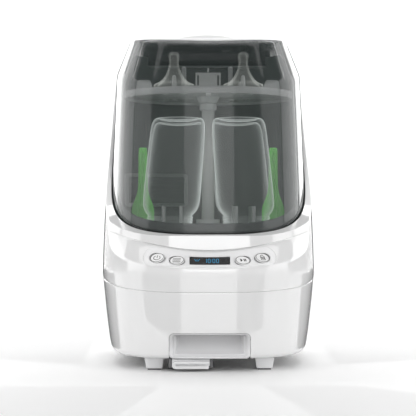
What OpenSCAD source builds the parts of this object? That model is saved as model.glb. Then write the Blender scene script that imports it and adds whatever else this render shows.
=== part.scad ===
// Bottle sterilizer with a hinged smoked hood, a lift-out bottle rack and a hot-air dryer.
// Millimetres. +Z is up, the front faces -Y, and the origin is the centre of the footprint on the table.

/* [Body] */
// Greatest width of the body, at its waist
body_w = 249; // [235:1:270]
// Greatest depth of the body, front to back
body_d = 284; // [272:1:310]
// Width where the body meets its bottom edge
base_w = 225; // [210:1:232]
// Height of the waist, where the body is widest
waist_z = 109; // [100:1:118]
// Height of the crease where the sides start to lean in
crease_z = 341; // [335:1:350]
// Width of the body at the crease
crease_w = 222; // [216:1:228]
// Overall height, to the top of the rear arch
body_h = 403; // [395:1:415]
// Wall of the outer mouldings
wall = 3; // [2.5:0.1:3.5]
// Radius of the arch on top of the rear tower
arch_r = 166; // [150:1:200]
// Height of the feet under the body
foot_h = 14; // [12:1:18]

/* [Control shelf] */
// How far the sloping control shelf steps back at the centre
shelf_step = 26; // [22:1:28]
// How far the band above the control shelf overhangs it
lip = 3; // [2:0.5:4]
// Height of the shelf's front edge at the centre
ridge_z = 114; // [110:1:118]
// Height of the shelf's rear edge at the centre
ledge_z = 134; // [130:1:138]
// Width of the control panel
panel_w = 148; // [136:1:152]
// Height of the control panel along its slope
panel_l = 26.5; // [22:0.5:27]
// Width of each button
button_w = 17; // [14:0.5:18]
// Height of each button along the slope
button_l = 13.6; // [12:0.2:15]
// Travel of each button
button_travel = 0.8; // [0.5:0.1:1.2]
// Width of the display window
lens_w = 44.8; // [40:0.2:48]
// Height of the display window along the slope
lens_l = 13; // [11:0.2:15]

/* [Hood] */
// How far the hood sits inside the body's sides at the rim
side_step = 8.4; // [7.6:0.2:10]
// How far the hood sits inside the body's sides at the crease
crease_step = 3; // [2.8:0.1:4]
// Width of the hood's flat top
hood_top_w = 184; // [176:1:190]
// Height of the hood's top edge
hood_top_z = 380; // [375:1:384]
// Wall of the hood
hood_wall = 3; // [2.4:0.1:3.4]
// Height of the body's rim at the front centre
rim_z = 151; // [148:1:154]
// Depth of the hinge deck behind the hood
hinge_bay = 50; // [48:1:54]
// Radius of the hinge pins
pin_r = 2.5; // [2:0.1:3]

/* [Rack and shelf] */
// Room between the lower rack and the tub
rack_room = 13; // [10:1:18]
// Height of the rack's deck
deck_z = 158; // [155:1:160]
// Room between the upper shelf and the hood
shelf_room = 5; // [4.6:0.1:7]
// Height of the upper shelf's underside
shelf_z = 312; // [306:1:316]
// Radius of the centre post
post_r = 7.8; // [7:0.1:9]
// Distance between neighbouring bottles' centres
bottle_pitch = 85; // [78:1:88]
// Mouth radius of a wide-neck bottle
mouth_r = 26; // [22:0.5:28]

/* [Drying air] */
// Radius of the blower's impeller
impeller_r = 30; // [26:1:34]
// Radius of the motor's shaft
shaft_r = 2; // [1.5:0.1:2.5]
// Width of the air filter's tray
tray_w = 42; // [38:1:46]
// Length of the air filter's tray
tray_l = 92; // [86:1:96]

/* [Clearances] */
// Gap between fixed pieces
gap = 0.3; // [0.2:0.05:0.4]
// Gap around pieces that slide or turn
slide_gap = 0.5; // [0.4:0.05:0.7]
// Gap between the hood and the groove that it closes into
groove_gap = 1.3; // [1.2:0.1:1.5]

/* [Hidden] */
$fn = 48;

columns = 56;          // points around each moulded outline
front_power = 3;       // squareness of the outline's front half
back_power = 3.6;      // squareness of the outline's back half
half_d = body_d / 2;
bottom_round = 8;      // radius of the body's bottom edge
shelf_reach = 54;      // degrees that the control shelf spans each side of the front
tip_z = 152;           // height of the shelf's pointed ends
seam_z = 88;           // height of the seam between the shells, at the front
seam_rise = 15.5;      // how far the seam climbs from the front to the middle
band_step = shelf_step - lip;
hood_edge = 0.8;       // how far the hood's edge sits below the rim
tub_grow = -hood_wall - 1;             // the tub's outside, measured from the hood's outside
tub_wall = 2.2;
rack_r = floor(min(hood_a(rim_z), hood_f(rim_z)) + tub_grow - tub_wall - rack_room);
shelf_r = min(hood_a(shelf_z + 20), hood_f(shelf_z)) - hood_wall - shelf_room;
far = 400;

// ---------------------------------------------------------------- outlines
// Radius of a squared-off oval of half width a and half depths f (front) and b (back), towards angle p.
function oval(p, a, f, b) =
    let (front = p > 180, n = front ? front_power : back_power, d = front ? f : b)
    pow(pow(abs(cos(p)) / a, n) + pow(abs(sin(p)) / d, n), -1 / n);

// Share of the control shelf's step towards angle p: 1 at the front centre, 0 past its tips.
function step_share(p) = max(0, 1 - pow((p - 270) / shelf_reach, 2));

function leaning(z, low_z, high_z, low, high, power) =
    low + (high - low) * pow(min(1, max(0, (z - low_z) / (high_z - low_z))), power);

function rounding(z) =
    let (up = min(bottom_round, z - foot_h)) bottom_round - sqrt(pow(bottom_round, 2) - pow(bottom_round - up, 2));

// Half width and half depths of the body at height z.
function body_a(z) =
    (z < waist_z ? leaning(waist_z - z, 0, waist_z, body_w / 2, base_w / 2, 1.3)
     : z < crease_z ? leaning(z, waist_z, crease_z, body_w / 2, crease_w / 2, 1.35)
     : leaning(z, crease_z, hood_top_z, crease_w / 2, hood_top_w / 2 + 2.5, 1)) - rounding(z);
function body_f(z) = half_d - 11 * pow(max(0, (waist_z - z) / waist_z), 1.3) - rounding(z);
function body_b(z) = half_d - 8 * pow(max(0, (waist_z - z) / waist_z), 1.3)
    - 4 * max(0, (z - waist_z) / (body_h - waist_z)) - rounding(z);

function ridge_height(p) = tip_z - (tip_z - ridge_z) * pow(step_share(p), 0.45);
function ledge_height(p) = tip_z + 3 - (tip_z + 3 - ledge_z) * pow(step_share(p), 1.3);

function angles() = [for (i = [0:columns - 1]) i * 360 / columns];
function at(p, r, z) = [r * cos(p), r * sin(p), z];
function body_r(p, z) = oval(p, body_a(z), body_f(z), body_b(z));

function ridge_point(p, inset) = let (z = ridge_height(p)) at(p, body_r(p, z) - inset, z - inset * 0.35);
function ledge_point(p, inset) =
    let (z = ledge_height(p)) at(p, body_r(p, z) - shelf_step * step_share(p) - inset, z - inset * 0.35);

function body_rows(inset, low_z) = concat(
    [for (z = low_z < foot_h ? [low_z, foot_h + 10, 60, 100] : [foot_h, foot_h + 1.4, foot_h + 4, foot_h + 10, 60, 100])
        [for (p = angles()) at(p, body_r(p, max(z, foot_h)) - inset, z)]],
    [[for (p = angles()) ridge_point(p, inset)]],
    [[for (p = angles()) ledge_point(p, inset)]],
    [[for (p = angles()) let (z = ledge_height(p) + 0.6)
        at(p, body_r(p, z) - band_step * step_share(p) - inset, z - inset * 0.35)]],
    [for (z = [168, 215, 260, 300, crease_z, hood_top_z, body_h])
        [for (p = angles()) at(p, body_r(p, z) - band_step * step_share(p) - inset, z)]]);

// Half width and half depths of the hood at height z.
function hood_a(z) = body_a(min(max(z, rim_z), crease_z))
    - leaning(z, rim_z, crease_z, side_step, crease_step, 1);
function hood_f(z) = leaning(z, rim_z, crease_z, half_d - band_step - wall - groove_gap, half_d - band_step - 8.5, 1);
function hood_b(z) = leaning(z, rim_z, crease_z, half_d - 30, half_d - 31, 1);

// The crease and the top edge dip towards the front.
function dip(p) = p > 180 ? pow(abs(sin(p)), 1.5) : 0;
function crease_height(p) = crease_z - 25 * dip(p);
function top_height(p) = hood_top_z - 7 * dip(p);

function hood_rows(grow, low_z) = concat(
    [for (z = [low_z, 200, 250, 290])
        [for (p = angles()) at(p, oval(p, hood_a(z), hood_f(z), hood_b(z)) + grow, z)]],
    [[for (p = angles()) let (z = crease_height(p)) at(p, oval(p, hood_a(z), hood_f(z), hood_b(z)) + grow, z + grow * 0.3)]],
    [for (s = [1, 0.96]) [for (p = angles())
        at(p, oval(p, hood_top_w / 2, half_d - 62, hood_back) * s + grow * 0.7, top_height(p) + grow + (1 - s) * 40)]],
    [for (s = [0.8, 0.4]) [for (p = angles())
        at(p, oval(p, hood_top_w / 2, half_d - 62, hood_back) * s + grow * 0.7 * s, top_height(p) * s * s + (hood_top_z + 3) * (1 - s * s) + grow)]]);

// A closed skin over rows of points, each row one outline, from the lowest row to the highest.
module skin(rows) {
    n = len(rows[0]);
    m = len(rows);
    polyhedron(
        points = [for (row = rows) each row],
        faces = concat(
            [[for (i = [0:n - 1]) i]],
            [for (j = [0:m - 2]) for (i = [0:n - 1]) let (k = (i + 1) % n)
                each [[j * n + i, (j + 1) * n + i, (j + 1) * n + k], [j * n + i, (j + 1) * n + k, j * n + k]]],
            [[for (i = [n - 1:-1:0]) (m - 1) * n + i]]),
        convexity = 8);
}

// Free-form mouldings are evaluated as one mesh.
module moulded() resize([0, 0, 0]) children();

module body_solid(inset = 0, low_z = foot_h) skin(body_rows(inset, low_z));
module hood_solid(grow = 0, low_z = rim_z - 13) skin(hood_rows(grow, low_z));

// ---------------------------------------------------------------- the parting line, seen from the side
function bezier(a, b, c, d, steps) = [for (i = [0:steps]) let (t = i / steps, u = 1 - t)
    u * u * u * a + 3 * u * u * t * b + 3 * u * t * t * c + t * t * t * d];

deck_top = hood_top_z - 14;
knuckle_r = pin_r + 3.7;
hood_back = half_d - hinge_bay;
hinge_y = hood_back + 12;
hinge_z = deck_top + knuckle_r + 3.8;
cap_y = hinge_y + knuckle_r + 1.8;     // front face of the tower's cap
parting = concat(
    [[-far, rim_z], [-half_d + band_step - 4, rim_z]],
    bezier([-half_d + band_step, rim_z], [-66, rim_z + 19], [2, rim_z + 61], [24, crease_z - 23], 14),
    bezier([25, crease_z - 17], [30, crease_z + 9], [48, deck_top], [hood_back - 20, deck_top], 5));

// Everything in front of and above the parting line, as seen from the side. grow moves the line into the body.
module cover_side(grow = 0) {
    offset(delta = grow)
        polygon(concat(parting, [[cap_y, deck_top], [cap_y, body_h + 60], [-far, body_h + 60]]));
}

module across(w = far) rotate([90, 0, 90]) linear_extrude(height = w, center = true) children();
module cover_zone(grow = 0) across() cover_side(grow);
module above_seam(lift = 0) across() polygon(concat(
    [[-far, seam_z + lift]],
    [for (i = [0:12]) let (s = 1 - i / 12) [-half_d * s, seam_z + lift + seam_rise * (1 - pow(s, 1.5))]],
    [[far, seam_z + lift + seam_rise], [far, 2 * far], [-far, 2 * far]]));
module under_arch(drop = 0) translate([0, 0, body_h - arch_r]) rotate([90, 0, 0])
    cylinder(r = arch_r - drop, h = 2 * far, center = true, $fn = 120);

// ---------------------------------------------------------------- where the shelf's pieces sit
// Places children on the sloping shelf: towards angle p, v along the slope from its front edge, +Z outwards.
module on_shelf(p, v = 0.5) {
    low = ridge_point(p, 0);
    up = ledge_point(p, 0) - low;
    translate(low + up * v)
        rotate([atan2(up[2], norm([up[0], up[1]])), 0, atan2(up[1], up[0]) - 90])
            children();
}

button_angles = [245.7, 254.6, 285.4, 294.3];
button_heights = [0.38, 0.37, 0.37, 0.38];
lens_height = 0.435;

function oval_2d(w, l, n) = [for (i = [0:n - 1]) [w / 2 * cos(i * 360 / n), l / 2 * sin(i * 360 / n)]];

module pill_2d(w, l, bend) {
    polygon(concat(
        [for (i = [-10:10]) let (s = i / 10) [s * (w / 2 - l / 2), -l / 2 + bend * s * s]],
        [for (i = [1:7]) [w / 2 - l / 2 + l / 2 * cos(-90 + i * 22.5), bend + l / 2 * sin(-90 + i * 22.5)]],
        [for (i = [10:-1:-10]) let (s = i / 10) [s * (w / 2 - l / 2), l / 2 + bend * s * s]],
        [for (i = [1:7]) [-w / 2 + l / 2 + l / 2 * cos(90 + i * 22.5), bend + l / 2 * sin(90 + i * 22.5)]]));
}
module pill_prism(grow = 0) on_shelf(270, 0.5) linear_extrude(height = 60, center = true)
    pill_2d(panel_w + 2 * grow, panel_l + 2 * grow, 4);

// ---------------------------------------------------------------- outer mouldings
module pocket_outline(grow, low) offset(r = 5 + grow)
    translate([-pocket_w / 2 + 5, low + 5]) square([pocket_w - 10, pocket_z - low - 10]);
module pocket_opening(grow) rotate([90, 0, 0]) linear_extrude(height = far) pocket_outline(grow, foot_h - 6);
pocket_w = 90;
pocket_z = 43;
pocket_depth = 24;

module lower_shell() color("white") moulded() {
    difference() {
        body_solid();
        body_solid(wall, foot_h - 1);
        above_seam();
        pocket_opening(gap + 2);
        translate([inlet_x, half_d, inlet_z]) cube([inlet_w + 2 * gap, 40, inlet_h + 2 * gap], center = true);
    }
    intersection() {
        for (p = screw_places) translate([p[0], p[1], foot_h + 3 + gap]) screw_boss(p[0] > 0 ? 0 : 180);
        body_solid(wall / 2);
    }
}
// A boss for a base screw, joined to the side wall by a rib.
module screw_boss(turn) rotate([0, 0, turn]) difference() {
    union() {
        cylinder(r = 4.5, h = 16);
        translate([3, -1.2, 0]) cube([40, 2.4, 16]);
    }
    translate([0, 0, -1]) cylinder(r = 1.75, h = 14);
}

module upper_shell() color("white") moulded() difference() {
    intersection() {
        body_solid();
        above_seam(gap);
        translate([-far / 2, -far / 2, 0]) cube([far, far, deck_top]);
    }
    cover_zone();
    hood_solid(groove_gap);
    difference() {
        body_solid(wall, foot_h - 1);
        intersection() {
            cover_zone(10);
            translate([-far / 2, -far, 0]) cube([far, far + ceiling_y, 2 * far]);
        }
    }
    pill_prism(gap);
}

module tower_cap() color("white") moulded() intersection() {
    difference() {
        intersection() { body_solid(); under_arch(); }
        intersection() {
            body_solid(wall);
            under_arch(wall);
            translate([-far / 2, cap_y + wall, 0]) cube([far, far, far * 2]);
        }
    }
    translate([-far / 2, cap_y, deck_top + gap]) cube([far, far, far]);
}

// Closes the tower under the hinge and carries the hinge brackets.
module hinge_deck() color("gainsboro") moulded() intersection() {
    difference() {
        body_solid(wall + gap);
        hood_solid(-hood_wall - 1 + gap);
    }
    translate([-far / 2, 60, deck_top - 4]) cube([far, far, 4]);
    translate([-90, hood_back + 2 * gap, 0]) cube([180, far, far * 2]);
}

module base_plate() color("gainsboro") difference() {
    moulded() intersection() {
        body_solid(wall + gap, foot_h - 1);
        translate([-far / 2, -far / 2, foot_h]) cube([far, far, 3]);
        difference() {
            translate([-far, -far, 0]) cube([2 * far, 2 * far, far]);
            translate([-pocket_w / 2 - 4, -half_d - 1, 0]) cube([pocket_w + 8, pocket_depth + 14, far]);
        }
    }
    for (i = [0:5]) translate([tray_x - 14, intake_y - 22 + i * 8, foot_h - 1]) cube([28, 4, 5]);
    for (p = screw_places) translate([p[0], p[1], foot_h - 1]) cylinder(r = 2.2, h = 6);
}

screw_places = [for (y = [67 - half_d, half_d - 57]) for (s = [-1, 1]) [s * (base_w / 2 - 27.5), y]];
foot_places = [for (y = [50 - half_d, half_d - 50]) for (s = [-1, 1]) [s * (base_w / 2 - 50.5), y]];
foot_w = 22;
foot_l = 34;
pad_h = 1.5;

module feet() color("whitesmoke") for (p = foot_places)
    translate([p[0], p[1] + foot_l / 2, 0]) rotate([90, 0, 0]) linear_extrude(height = foot_l)
        polygon([[-foot_w / 2 + 2, pad_h], [foot_w / 2 - 2, pad_h], [foot_w / 2, foot_h], [-foot_w / 2, foot_h]]);

module foot_pads() color("dimgray") for (p = foot_places)
    translate([p[0] - foot_w / 2 + 3.5, p[1] - foot_l / 2 + 2, 0]) cube([foot_w - 7, foot_l - 4, pad_h]);

module base_screws() color("silver") for (p = screw_places) translate([p[0], p[1], foot_h]) {
    translate([0, 0, -1.8]) cylinder(r = 3.6, h = 1.8);
    cylinder(r = 1.7, h = 12);
}

// Scooped hand hold in the front of the lower shell, with a floor that rises towards the back.
module grip_pocket() color("white") moulded() intersection() {
    difference() {
        hull() pocket_space(2);
        hull() pocket_space(0);
    }
    body_solid();
}
module pocket_space(grow) {
    back = -half_d + 9 + pocket_depth;
    translate([0, 6 - half_d, 0]) rotate([90, 0, 0]) linear_extrude(height = 26)
        pocket_outline(grow, foot_h + (grow > 0 ? -6 : 2.5));
    translate([-pocket_w / 2 + 8 - grow, back - 1 + grow, foot_h + 17 - grow])
        cube([pocket_w - 16 + 2 * grow, 1, pocket_z - foot_h - 17 + 2 * grow]);
}

// ---------------------------------------------------------------- chamber
tub_floor_z = rim_z - 31;
tub_lip = 9.5;         // how far the tub's wall stands above the rim
seal_depth = 5.6;      // depth of the rim seal's underside below the rim
ceiling_y = hood_back - 8;
plate_r = 45;

module chamber_tub() color("darkgray") difference() {
    moulded() {
        difference() {
            hood_solid(tub_grow, tub_floor_z);
            hood_solid(tub_grow - tub_wall, tub_floor_z + 3);
            cover_zone(-tub_lip);
            translate([-far / 2, ceiling_y, deck_top - 5]) cube([far, far, far]);
            pour_notch();
            translate([duct_x + 2, 60, vent_z - 12]) cube([22, 65, 24]);
        }
        intersection() {
            hood_solid(tub_grow, tub_floor_z);
            translate([-far / 2, ceiling_y, deck_top - 8]) cube([far, far, 3]);
        }
        intersection() {
            difference() {
                hood_solid(groove_gap - gap, rim_z - 13);
                hood_solid(tub_grow - tub_wall / 2, rim_z - 20);
            }
            difference() { cover_zone(seal_depth + 2.8); cover_zone(seal_depth + gap); }
            translate([-far / 2, -far, 0]) cube([far, 2 * far, deck_top - 4 - gap]);
        }
    }
    translate([0, 0, tub_floor_z - 1]) cylinder(r = plate_r - 4, h = 6);
}

// Dished finger notch in the tub's front wall.
module pour_notch() translate([0, -half_d + band_step, rim_z + tub_lip]) rotate([90, 0, 0])
    linear_extrude(height = 60, center = true) polygon([[-30, 2], [-24, -7.5], [24, -7.5], [30, 2]]);

module rim_seal() color("dimgray") moulded() intersection() {
    difference() {
        hood_solid(groove_gap - gap, rim_z - 13);
        hood_solid(tub_grow + gap, rim_z - 20);
    }
    difference() { cover_zone(seal_depth); cover_zone(hood_edge + gap); }
    translate([-far / 2, -far, 0]) cube([far, 2 * far, deck_top - 4 - gap]);
}

module heating_plate() color("silver") {
    translate([0, 0, tub_floor_z + 3 + 0.8]) cylinder(r = plate_r, h = 1.5);
    translate([0, 0, tub_floor_z - 6]) cylinder(r = plate_r - 5, h = 9.8);
}
module plate_seal() color("darkorange") translate([0, 0, tub_floor_z + 3]) difference() {
    cylinder(r = plate_r - 0.5, h = 0.8);
    translate([0, 0, -1]) cylinder(r = plate_r - 3.8, h = 3);
}
module heating_element() color("gray") translate([0, 0, tub_floor_z - 11]) {
    rotate_extrude(angle = 310) translate([28, 0]) circle(r = 3.6, $fn = 32);
    for (a = [0, 310]) rotate([0, 0, a]) translate([28, 0, 0]) rotate([0, 180, 0]) cylinder(r = 2, h = 16);
}
module thermostat() color("black") translate([0, 0, tub_floor_z - 14]) {
    cylinder(r = 9, h = 8);
    translate([-12, -3, -1]) cube([24, 6, 1]);
}

// ---------------------------------------------------------------- controls
module button_panel() color("white") difference() {
    moulded() difference() {
        intersection() {
            body_solid(-0.5);
            pill_prism();
        }
        body_solid(2.2, foot_h - 1);
        for (i = [0:3]) on_shelf(button_angles[i], button_heights[i]) linear_extrude(height = 20, center = true)
            polygon(oval_2d(button_w + 2 * slide_gap, button_l + 2 * slide_gap, 32));
        on_shelf(270, lens_height) cube([lens_w + 0.4, lens_l + 0.4, 20], center = true);
    }
}

module display_lens() color("black") on_shelf(270, lens_height) translate([-lens_w / 2, -lens_l / 2, -1.4])
    cube([lens_w, lens_l, 2]);
module display_module() color("dimgray") on_shelf(270, lens_height) translate([-lens_w / 2 + 1, -lens_l / 2 + 1, -9.1])
    cube([lens_w - 2, lens_l - 2, 7.5]);
module control_board() color("darkgreen") {
    on_shelf(270, lens_height) translate([-23, -9, -10.8]) cube([46, 18, 1.6]);
    for (i = [0:3]) on_shelf(button_angles[i], button_heights[i]) translate([-8, -7, -13.6]) cube([16, 14, 1.6]);
}
module button_switches() color("dimgray") for (i = [0:3]) on_shelf(button_angles[i], button_heights[i])
    translate([-3, -3, -12]) cube([6, 6, 3.3]);

module button(i) on_shelf(button_angles[i], button_heights[i]) {
    translate([0, 0, -2.2]) linear_extrude(height = 3.6) polygon(oval_2d(button_w, button_l, 32));
    translate([0, 0, -7.6]) cylinder(r = 2, h = 6);
}
module button_power() color("white") button(0);
module button_sterilize() color("white") button(1);
module button_start() color("white") button(2);
module button_dry() color("white") button(3);

// ---------------------------------------------------------------- drying air
tray_x = -21;
intake_y = 80 - half_d;
blower_z = foot_h + 5;
blower_h = 34;
volute_r = impeller_r + 8;
vent_z = rim_z + 53.5;
duct_x = tray_x - volute_r - 2;
duct_y = half_d - 30.5;

module blower_housing() color("dimgray") translate([tray_x, intake_y, blower_z]) difference() {
    union() {
        cylinder(r = volute_r + 2, h = blower_h);
        translate([-volute_r - 2, 0, 0]) cube([26, 62, blower_h]);
    }
    translate([0, 0, 2]) cylinder(r = volute_r, h = blower_h - 4);
    translate([-volute_r, 10, 2]) cube([22, 60, blower_h - 4]);
    translate([0, 0, -1]) cylinder(r = 20, h = 6);
    translate([0, 0, blower_h - 4]) cylinder(r = 6, h = 6);
}
module impeller() color("black") translate([tray_x, intake_y, blower_z + 4]) {
    difference() {
        cylinder(r = impeller_r, h = 2);
        translate([0, 0, -1]) cylinder(r = shaft_r + 0.05, h = 6);
    }
    difference() {
        translate([0, 0, 1]) cylinder(r = 8, h = 14);
        cylinder(r = shaft_r + 0.05, h = 40, center = true);
    }
    for (i = [0:17]) rotate([0, 0, i * 20]) translate([impeller_r - 8, -0.7, 1]) rotate([0, 0, 25])
        cube([7.5, 1.4, 22]);
}
module blower_motor() color("silver") translate([tray_x, intake_y, blower_z]) {
    translate([0, 0, blower_h]) cylinder(r = 16, h = 22);
    translate([0, 0, 6]) cylinder(r = shaft_r, h = blower_h - 4);
}
module air_heater() color("firebrick") translate([tray_x - volute_r + 1, intake_y + 36, blower_z + 4]) {
    for (i = [0:4]) translate([i * 4.2, 0, 0]) cube([2.4, 22, blower_h - 8]);
    translate([0, 10, -1]) cube([19.2, 2, 3]);
}
module air_duct() color("dimgray") {
    run = duct_y - intake_y - 61.5;
    translate([duct_x, intake_y + 62 + gap, blower_z]) difference() {
        cube([26, run, blower_h]);
        translate([2, -1, 2]) cube([22, run - 1, blower_h - 4]);
        translate([2, run - 16, blower_h - 4]) cube([22, 14, 10]);
    }
    translate([duct_x, duct_y, blower_z + blower_h]) difference() {
        cube([26, 18, vent_z + 10 - blower_z - blower_h]);
        translate([2, 2, -1]) cube([22, 14, vent_z + 8 - blower_z - blower_h]);
        translate([2, -1, vent_z - 14 - blower_z - blower_h]) cube([22, 4, 20]);
    }
}

// The warm air's outlet, curved to the chamber's rear left wall.
vent_frame_x = -63;
module vent_slab(proud) intersection() {
    difference() {
        hood_solid(tub_grow - tub_wall - gap, tub_floor_z + 3);
        hood_solid(tub_grow - tub_wall - gap - proud, tub_floor_z);
    }
    translate([-far, 40, 0]) cube([2 * far, far, far]);
}
module vent_outline(grow) rotate([90, 0, 180]) linear_extrude(height = far) offset(r = 5 + grow)
    translate([-vent_frame_x - 34, vent_z - 16]) square([68, 32]);
module vent_frame() color("lightgray") moulded() intersection() {
    vent_slab(4);
    difference() { vent_outline(0); vent_outline(-4.5); }
}
module vent_grille() color("silver") moulded() intersection() {
    vent_slab(1.6);
    vent_outline(-4.5 - gap);
    union() for (i = [-2:2]) translate([-far / 2, 0, vent_z - 1.6 + i * 6]) cube([far, far, 3.2]);
}

module filter_rails() color("gainsboro") for (s = [-1, 1])
    translate([tray_x + s * (tray_w / 2 + slide_gap + 1.5) - 1.5, -half_d + 20, 4]) {
        cube([3, tray_l - 6, foot_h - 4]);
        translate([s > 0 ? -3.5 : 0, 0, 0]) cube([6.5, tray_l - 6, 1.5]);
    }
module filter_tray() color("white") translate([tray_x, -half_d + 10, 0]) {
    difference() {
        translate([-tray_w / 2, 8, 6]) cube([tray_w, tray_l - 8, foot_h - 6.6]);
        translate([-tray_w / 2 + 2, 40, 5]) cube([tray_w - 4, tray_l - 42, foot_h]);
    }
    for (i = [0:3]) translate([-tray_w / 2 + 1, 44 + i * 12, 6]) cube([tray_w - 2, 2, 1.2]);
    difference() {
        rotate([90, 0, 0]) translate([0, 0, -9]) linear_extrude(height = 9) polygon(concat(
            [for (i = [0:8]) [-tray_w / 2 + 4 - 4 * sin(i * 22.5), 7.5 + 4 * cos(i * 22.5)]],
            [[tray_w / 2 - 1.5, 3.5], [tray_w / 2, 11.5]]));
        translate([-tray_w / 2 + 4, -1, 6.6]) cube([tray_w, 5, 2.6]);
    }
}
module filter_mat() color("lightblue") translate([tray_x - tray_w / 2 + 2.5, -half_d + 10 + 41, 7.4])
    cube([tray_w - 5, tray_l - 44, foot_h - 8.6]);

// ---------------------------------------------------------------- power
inlet_x = 36;
inlet_z = 42;
inlet_w = 26;
inlet_h = 20;
module power_inlet() color("black") translate([inlet_x, half_d - 28.5, inlet_z]) difference() {
    translate([-inlet_w / 2, 0, -inlet_h / 2]) cube([inlet_w, 22, inlet_h]);
    translate([-inlet_w / 2 + 3, 8, -inlet_h / 2 + 3]) cube([inlet_w - 6, 20, inlet_h - 6]);
}
module power_board() color("darkgreen") translate([25, -25, foot_h + 3]) {
    for (p = [[6, 6], [64, 6], [6, 84], [64, 84]]) translate([p[0], p[1], 0]) cylinder(r = 3, h = 8);
    translate([0, 0, 8]) cube([70, 90, 1.6]);
    translate([8, 14, 9.6]) cube([26, 24, 20]);
    translate([44, 16, 9.6]) cylinder(r = 8, h = 26);
    translate([42, 48, 9.6]) cube([16, 14, 12]);
    translate([10, 54, 9.6]) cube([14, 20, 14]);
}

// ---------------------------------------------------------------- hood and hinge
knuckle_x = 62;        // centre of each hinge
knuckle_w = 24;        // width of the hood's knuckle

module hood() color([0.35, 0.4, 0.4, 0.5]) moulded() difference() {
    intersection() {
        hood_solid();
        cover_zone(hood_edge);
        translate([-far / 2, -far, 0]) cube([far, far + hood_back, 2 * far]);
    }
    intersection() {
        hood_solid(-hood_wall);
        translate([-far / 2, -far, 0]) cube([far, far + hood_back - hood_wall, 2 * far]);
    }
}
module hood_knuckles() color("dimgray") for (s = [-1, 1]) translate([s * knuckle_x, hinge_y, hinge_z]) difference() {
    union() {
        rotate([0, 90, 0]) cylinder(r = knuckle_r, h = knuckle_w, center = true);
        translate([-knuckle_w / 2, hood_back + gap - hinge_y, -8]) cube([knuckle_w, 3, 12]);
        translate([-knuckle_w / 2, hood_back + gap - hinge_y, -4]) cube([knuckle_w, hinge_y - hood_back - gap - 1, 6]);
    }
    rotate([0, 90, 0]) cylinder(r = pin_r + 0.05, h = 60, center = true);
}
module hinge_brackets() color("dimgray") for (s = [-1, 1]) for (e = [-1, 1])
    translate([s * knuckle_x + e * (knuckle_w / 2 + slide_gap + 3), hinge_y, hinge_z]) difference() {
        union() {
            rotate([0, 90, 0]) cylinder(r = knuckle_r, h = 6, center = true);
            translate([-3, -4, deck_top - hinge_z]) cube([6, 8, hinge_z - deck_top]);
        }
        rotate([0, 90, 0]) cylinder(r = pin_r, h = 60, center = true);
    }
module hinge_pins() color("silver") for (s = [-1, 1]) translate([s * knuckle_x, hinge_y, hinge_z])
    rotate([0, 90, 0]) cylinder(r = pin_r, h = knuckle_w + 2 * slide_gap + 12, center = true);
module lid_switch() color("black") translate([20, 97, deck_top]) cube([10, 8, 6]);

// ---------------------------------------------------------------- rack and shelf
bottle_places = [for (x = [-1, 1]) for (y = [-1, 1]) [x * bottle_pitch / 2, y * bottle_pitch / 2]];

module lower_rack() color("gray") {
    difference() {
        translate([0, 0, deck_z - 3]) cylinder(r = rack_r, h = 3);
        translate([0, 0, deck_z - 10]) cylinder(r = 10, h = 20);
        for (p = bottle_places) translate([p[0], p[1], deck_z - 5]) for (a = [0:30:330]) rotate([0, 0, a])
            translate([9, -2.2, 0]) cube([12, 4.4, 10]);
        for (a = [0:15:345]) rotate([0, 0, a]) translate([rack_r - 9, -2, deck_z - 5]) cube([5, 4, 10]);
    }
    difference() {
        translate([0, 0, deck_z - 14]) cylinder(r = 14, h = 24);
        translate([0, 0, deck_z - 20]) cylinder(r = post_r - 1.5 + 0.05, h = 60);
        translate([0, 0, deck_z]) cylinder(r = post_r + 0.05, h = 20);
    }
    for (p = bottle_places) translate([p[0], p[1], deck_z]) {
        difference() {
            cylinder(r = mouth_r + 5, h = 3);
            translate([0, 0, -1]) cylinder(r = mouth_r + 3.4, h = 6);
        }
        for (a = [0:90:270]) rotate([0, 0, a + 45]) translate([mouth_r - 13, -1.2, 0]) cube([3, 2.4, 26]);
    }
}
// The rack's rim and legs, which stand on the tub's floor.
module rack_stand() color("gray") {
    difference() {
        translate([0, 0, deck_z - 14]) cylinder(r = rack_r, h = 11);
        translate([0, 0, deck_z - 15]) cylinder(r = rack_r - 2, h = 13);
        for (a = [0:30:330]) rotate([0, 0, a]) translate([rack_r - 5, -9, deck_z - 15]) cube([10, 18, 8]);
    }
    for (a = [0:60:300]) rotate([0, 0, a + 15]) translate([rack_r - 5, 0, tub_floor_z + 3.2])
        cylinder(r = 4, h = deck_z - tub_floor_z - 8);
}
module centre_post() color("lightgray") {
    translate([0, 0, deck_z - 12]) cylinder(r = post_r - 1.5, h = 12);
    translate([0, 0, deck_z]) cylinder(r = post_r, h = shelf_z - 5 - deck_z);
    translate([0, 0, shelf_z - 5]) cylinder(r = post_r - 2, h = 16);
}
module post_collar() color("gray") translate([0, 0, shelf_z - 13]) difference() {
    cylinder(r = post_r + 2.5, h = 8);
    translate([0, 0, -1]) cylinder(r = post_r + 0.02, h = 20);
}

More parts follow.
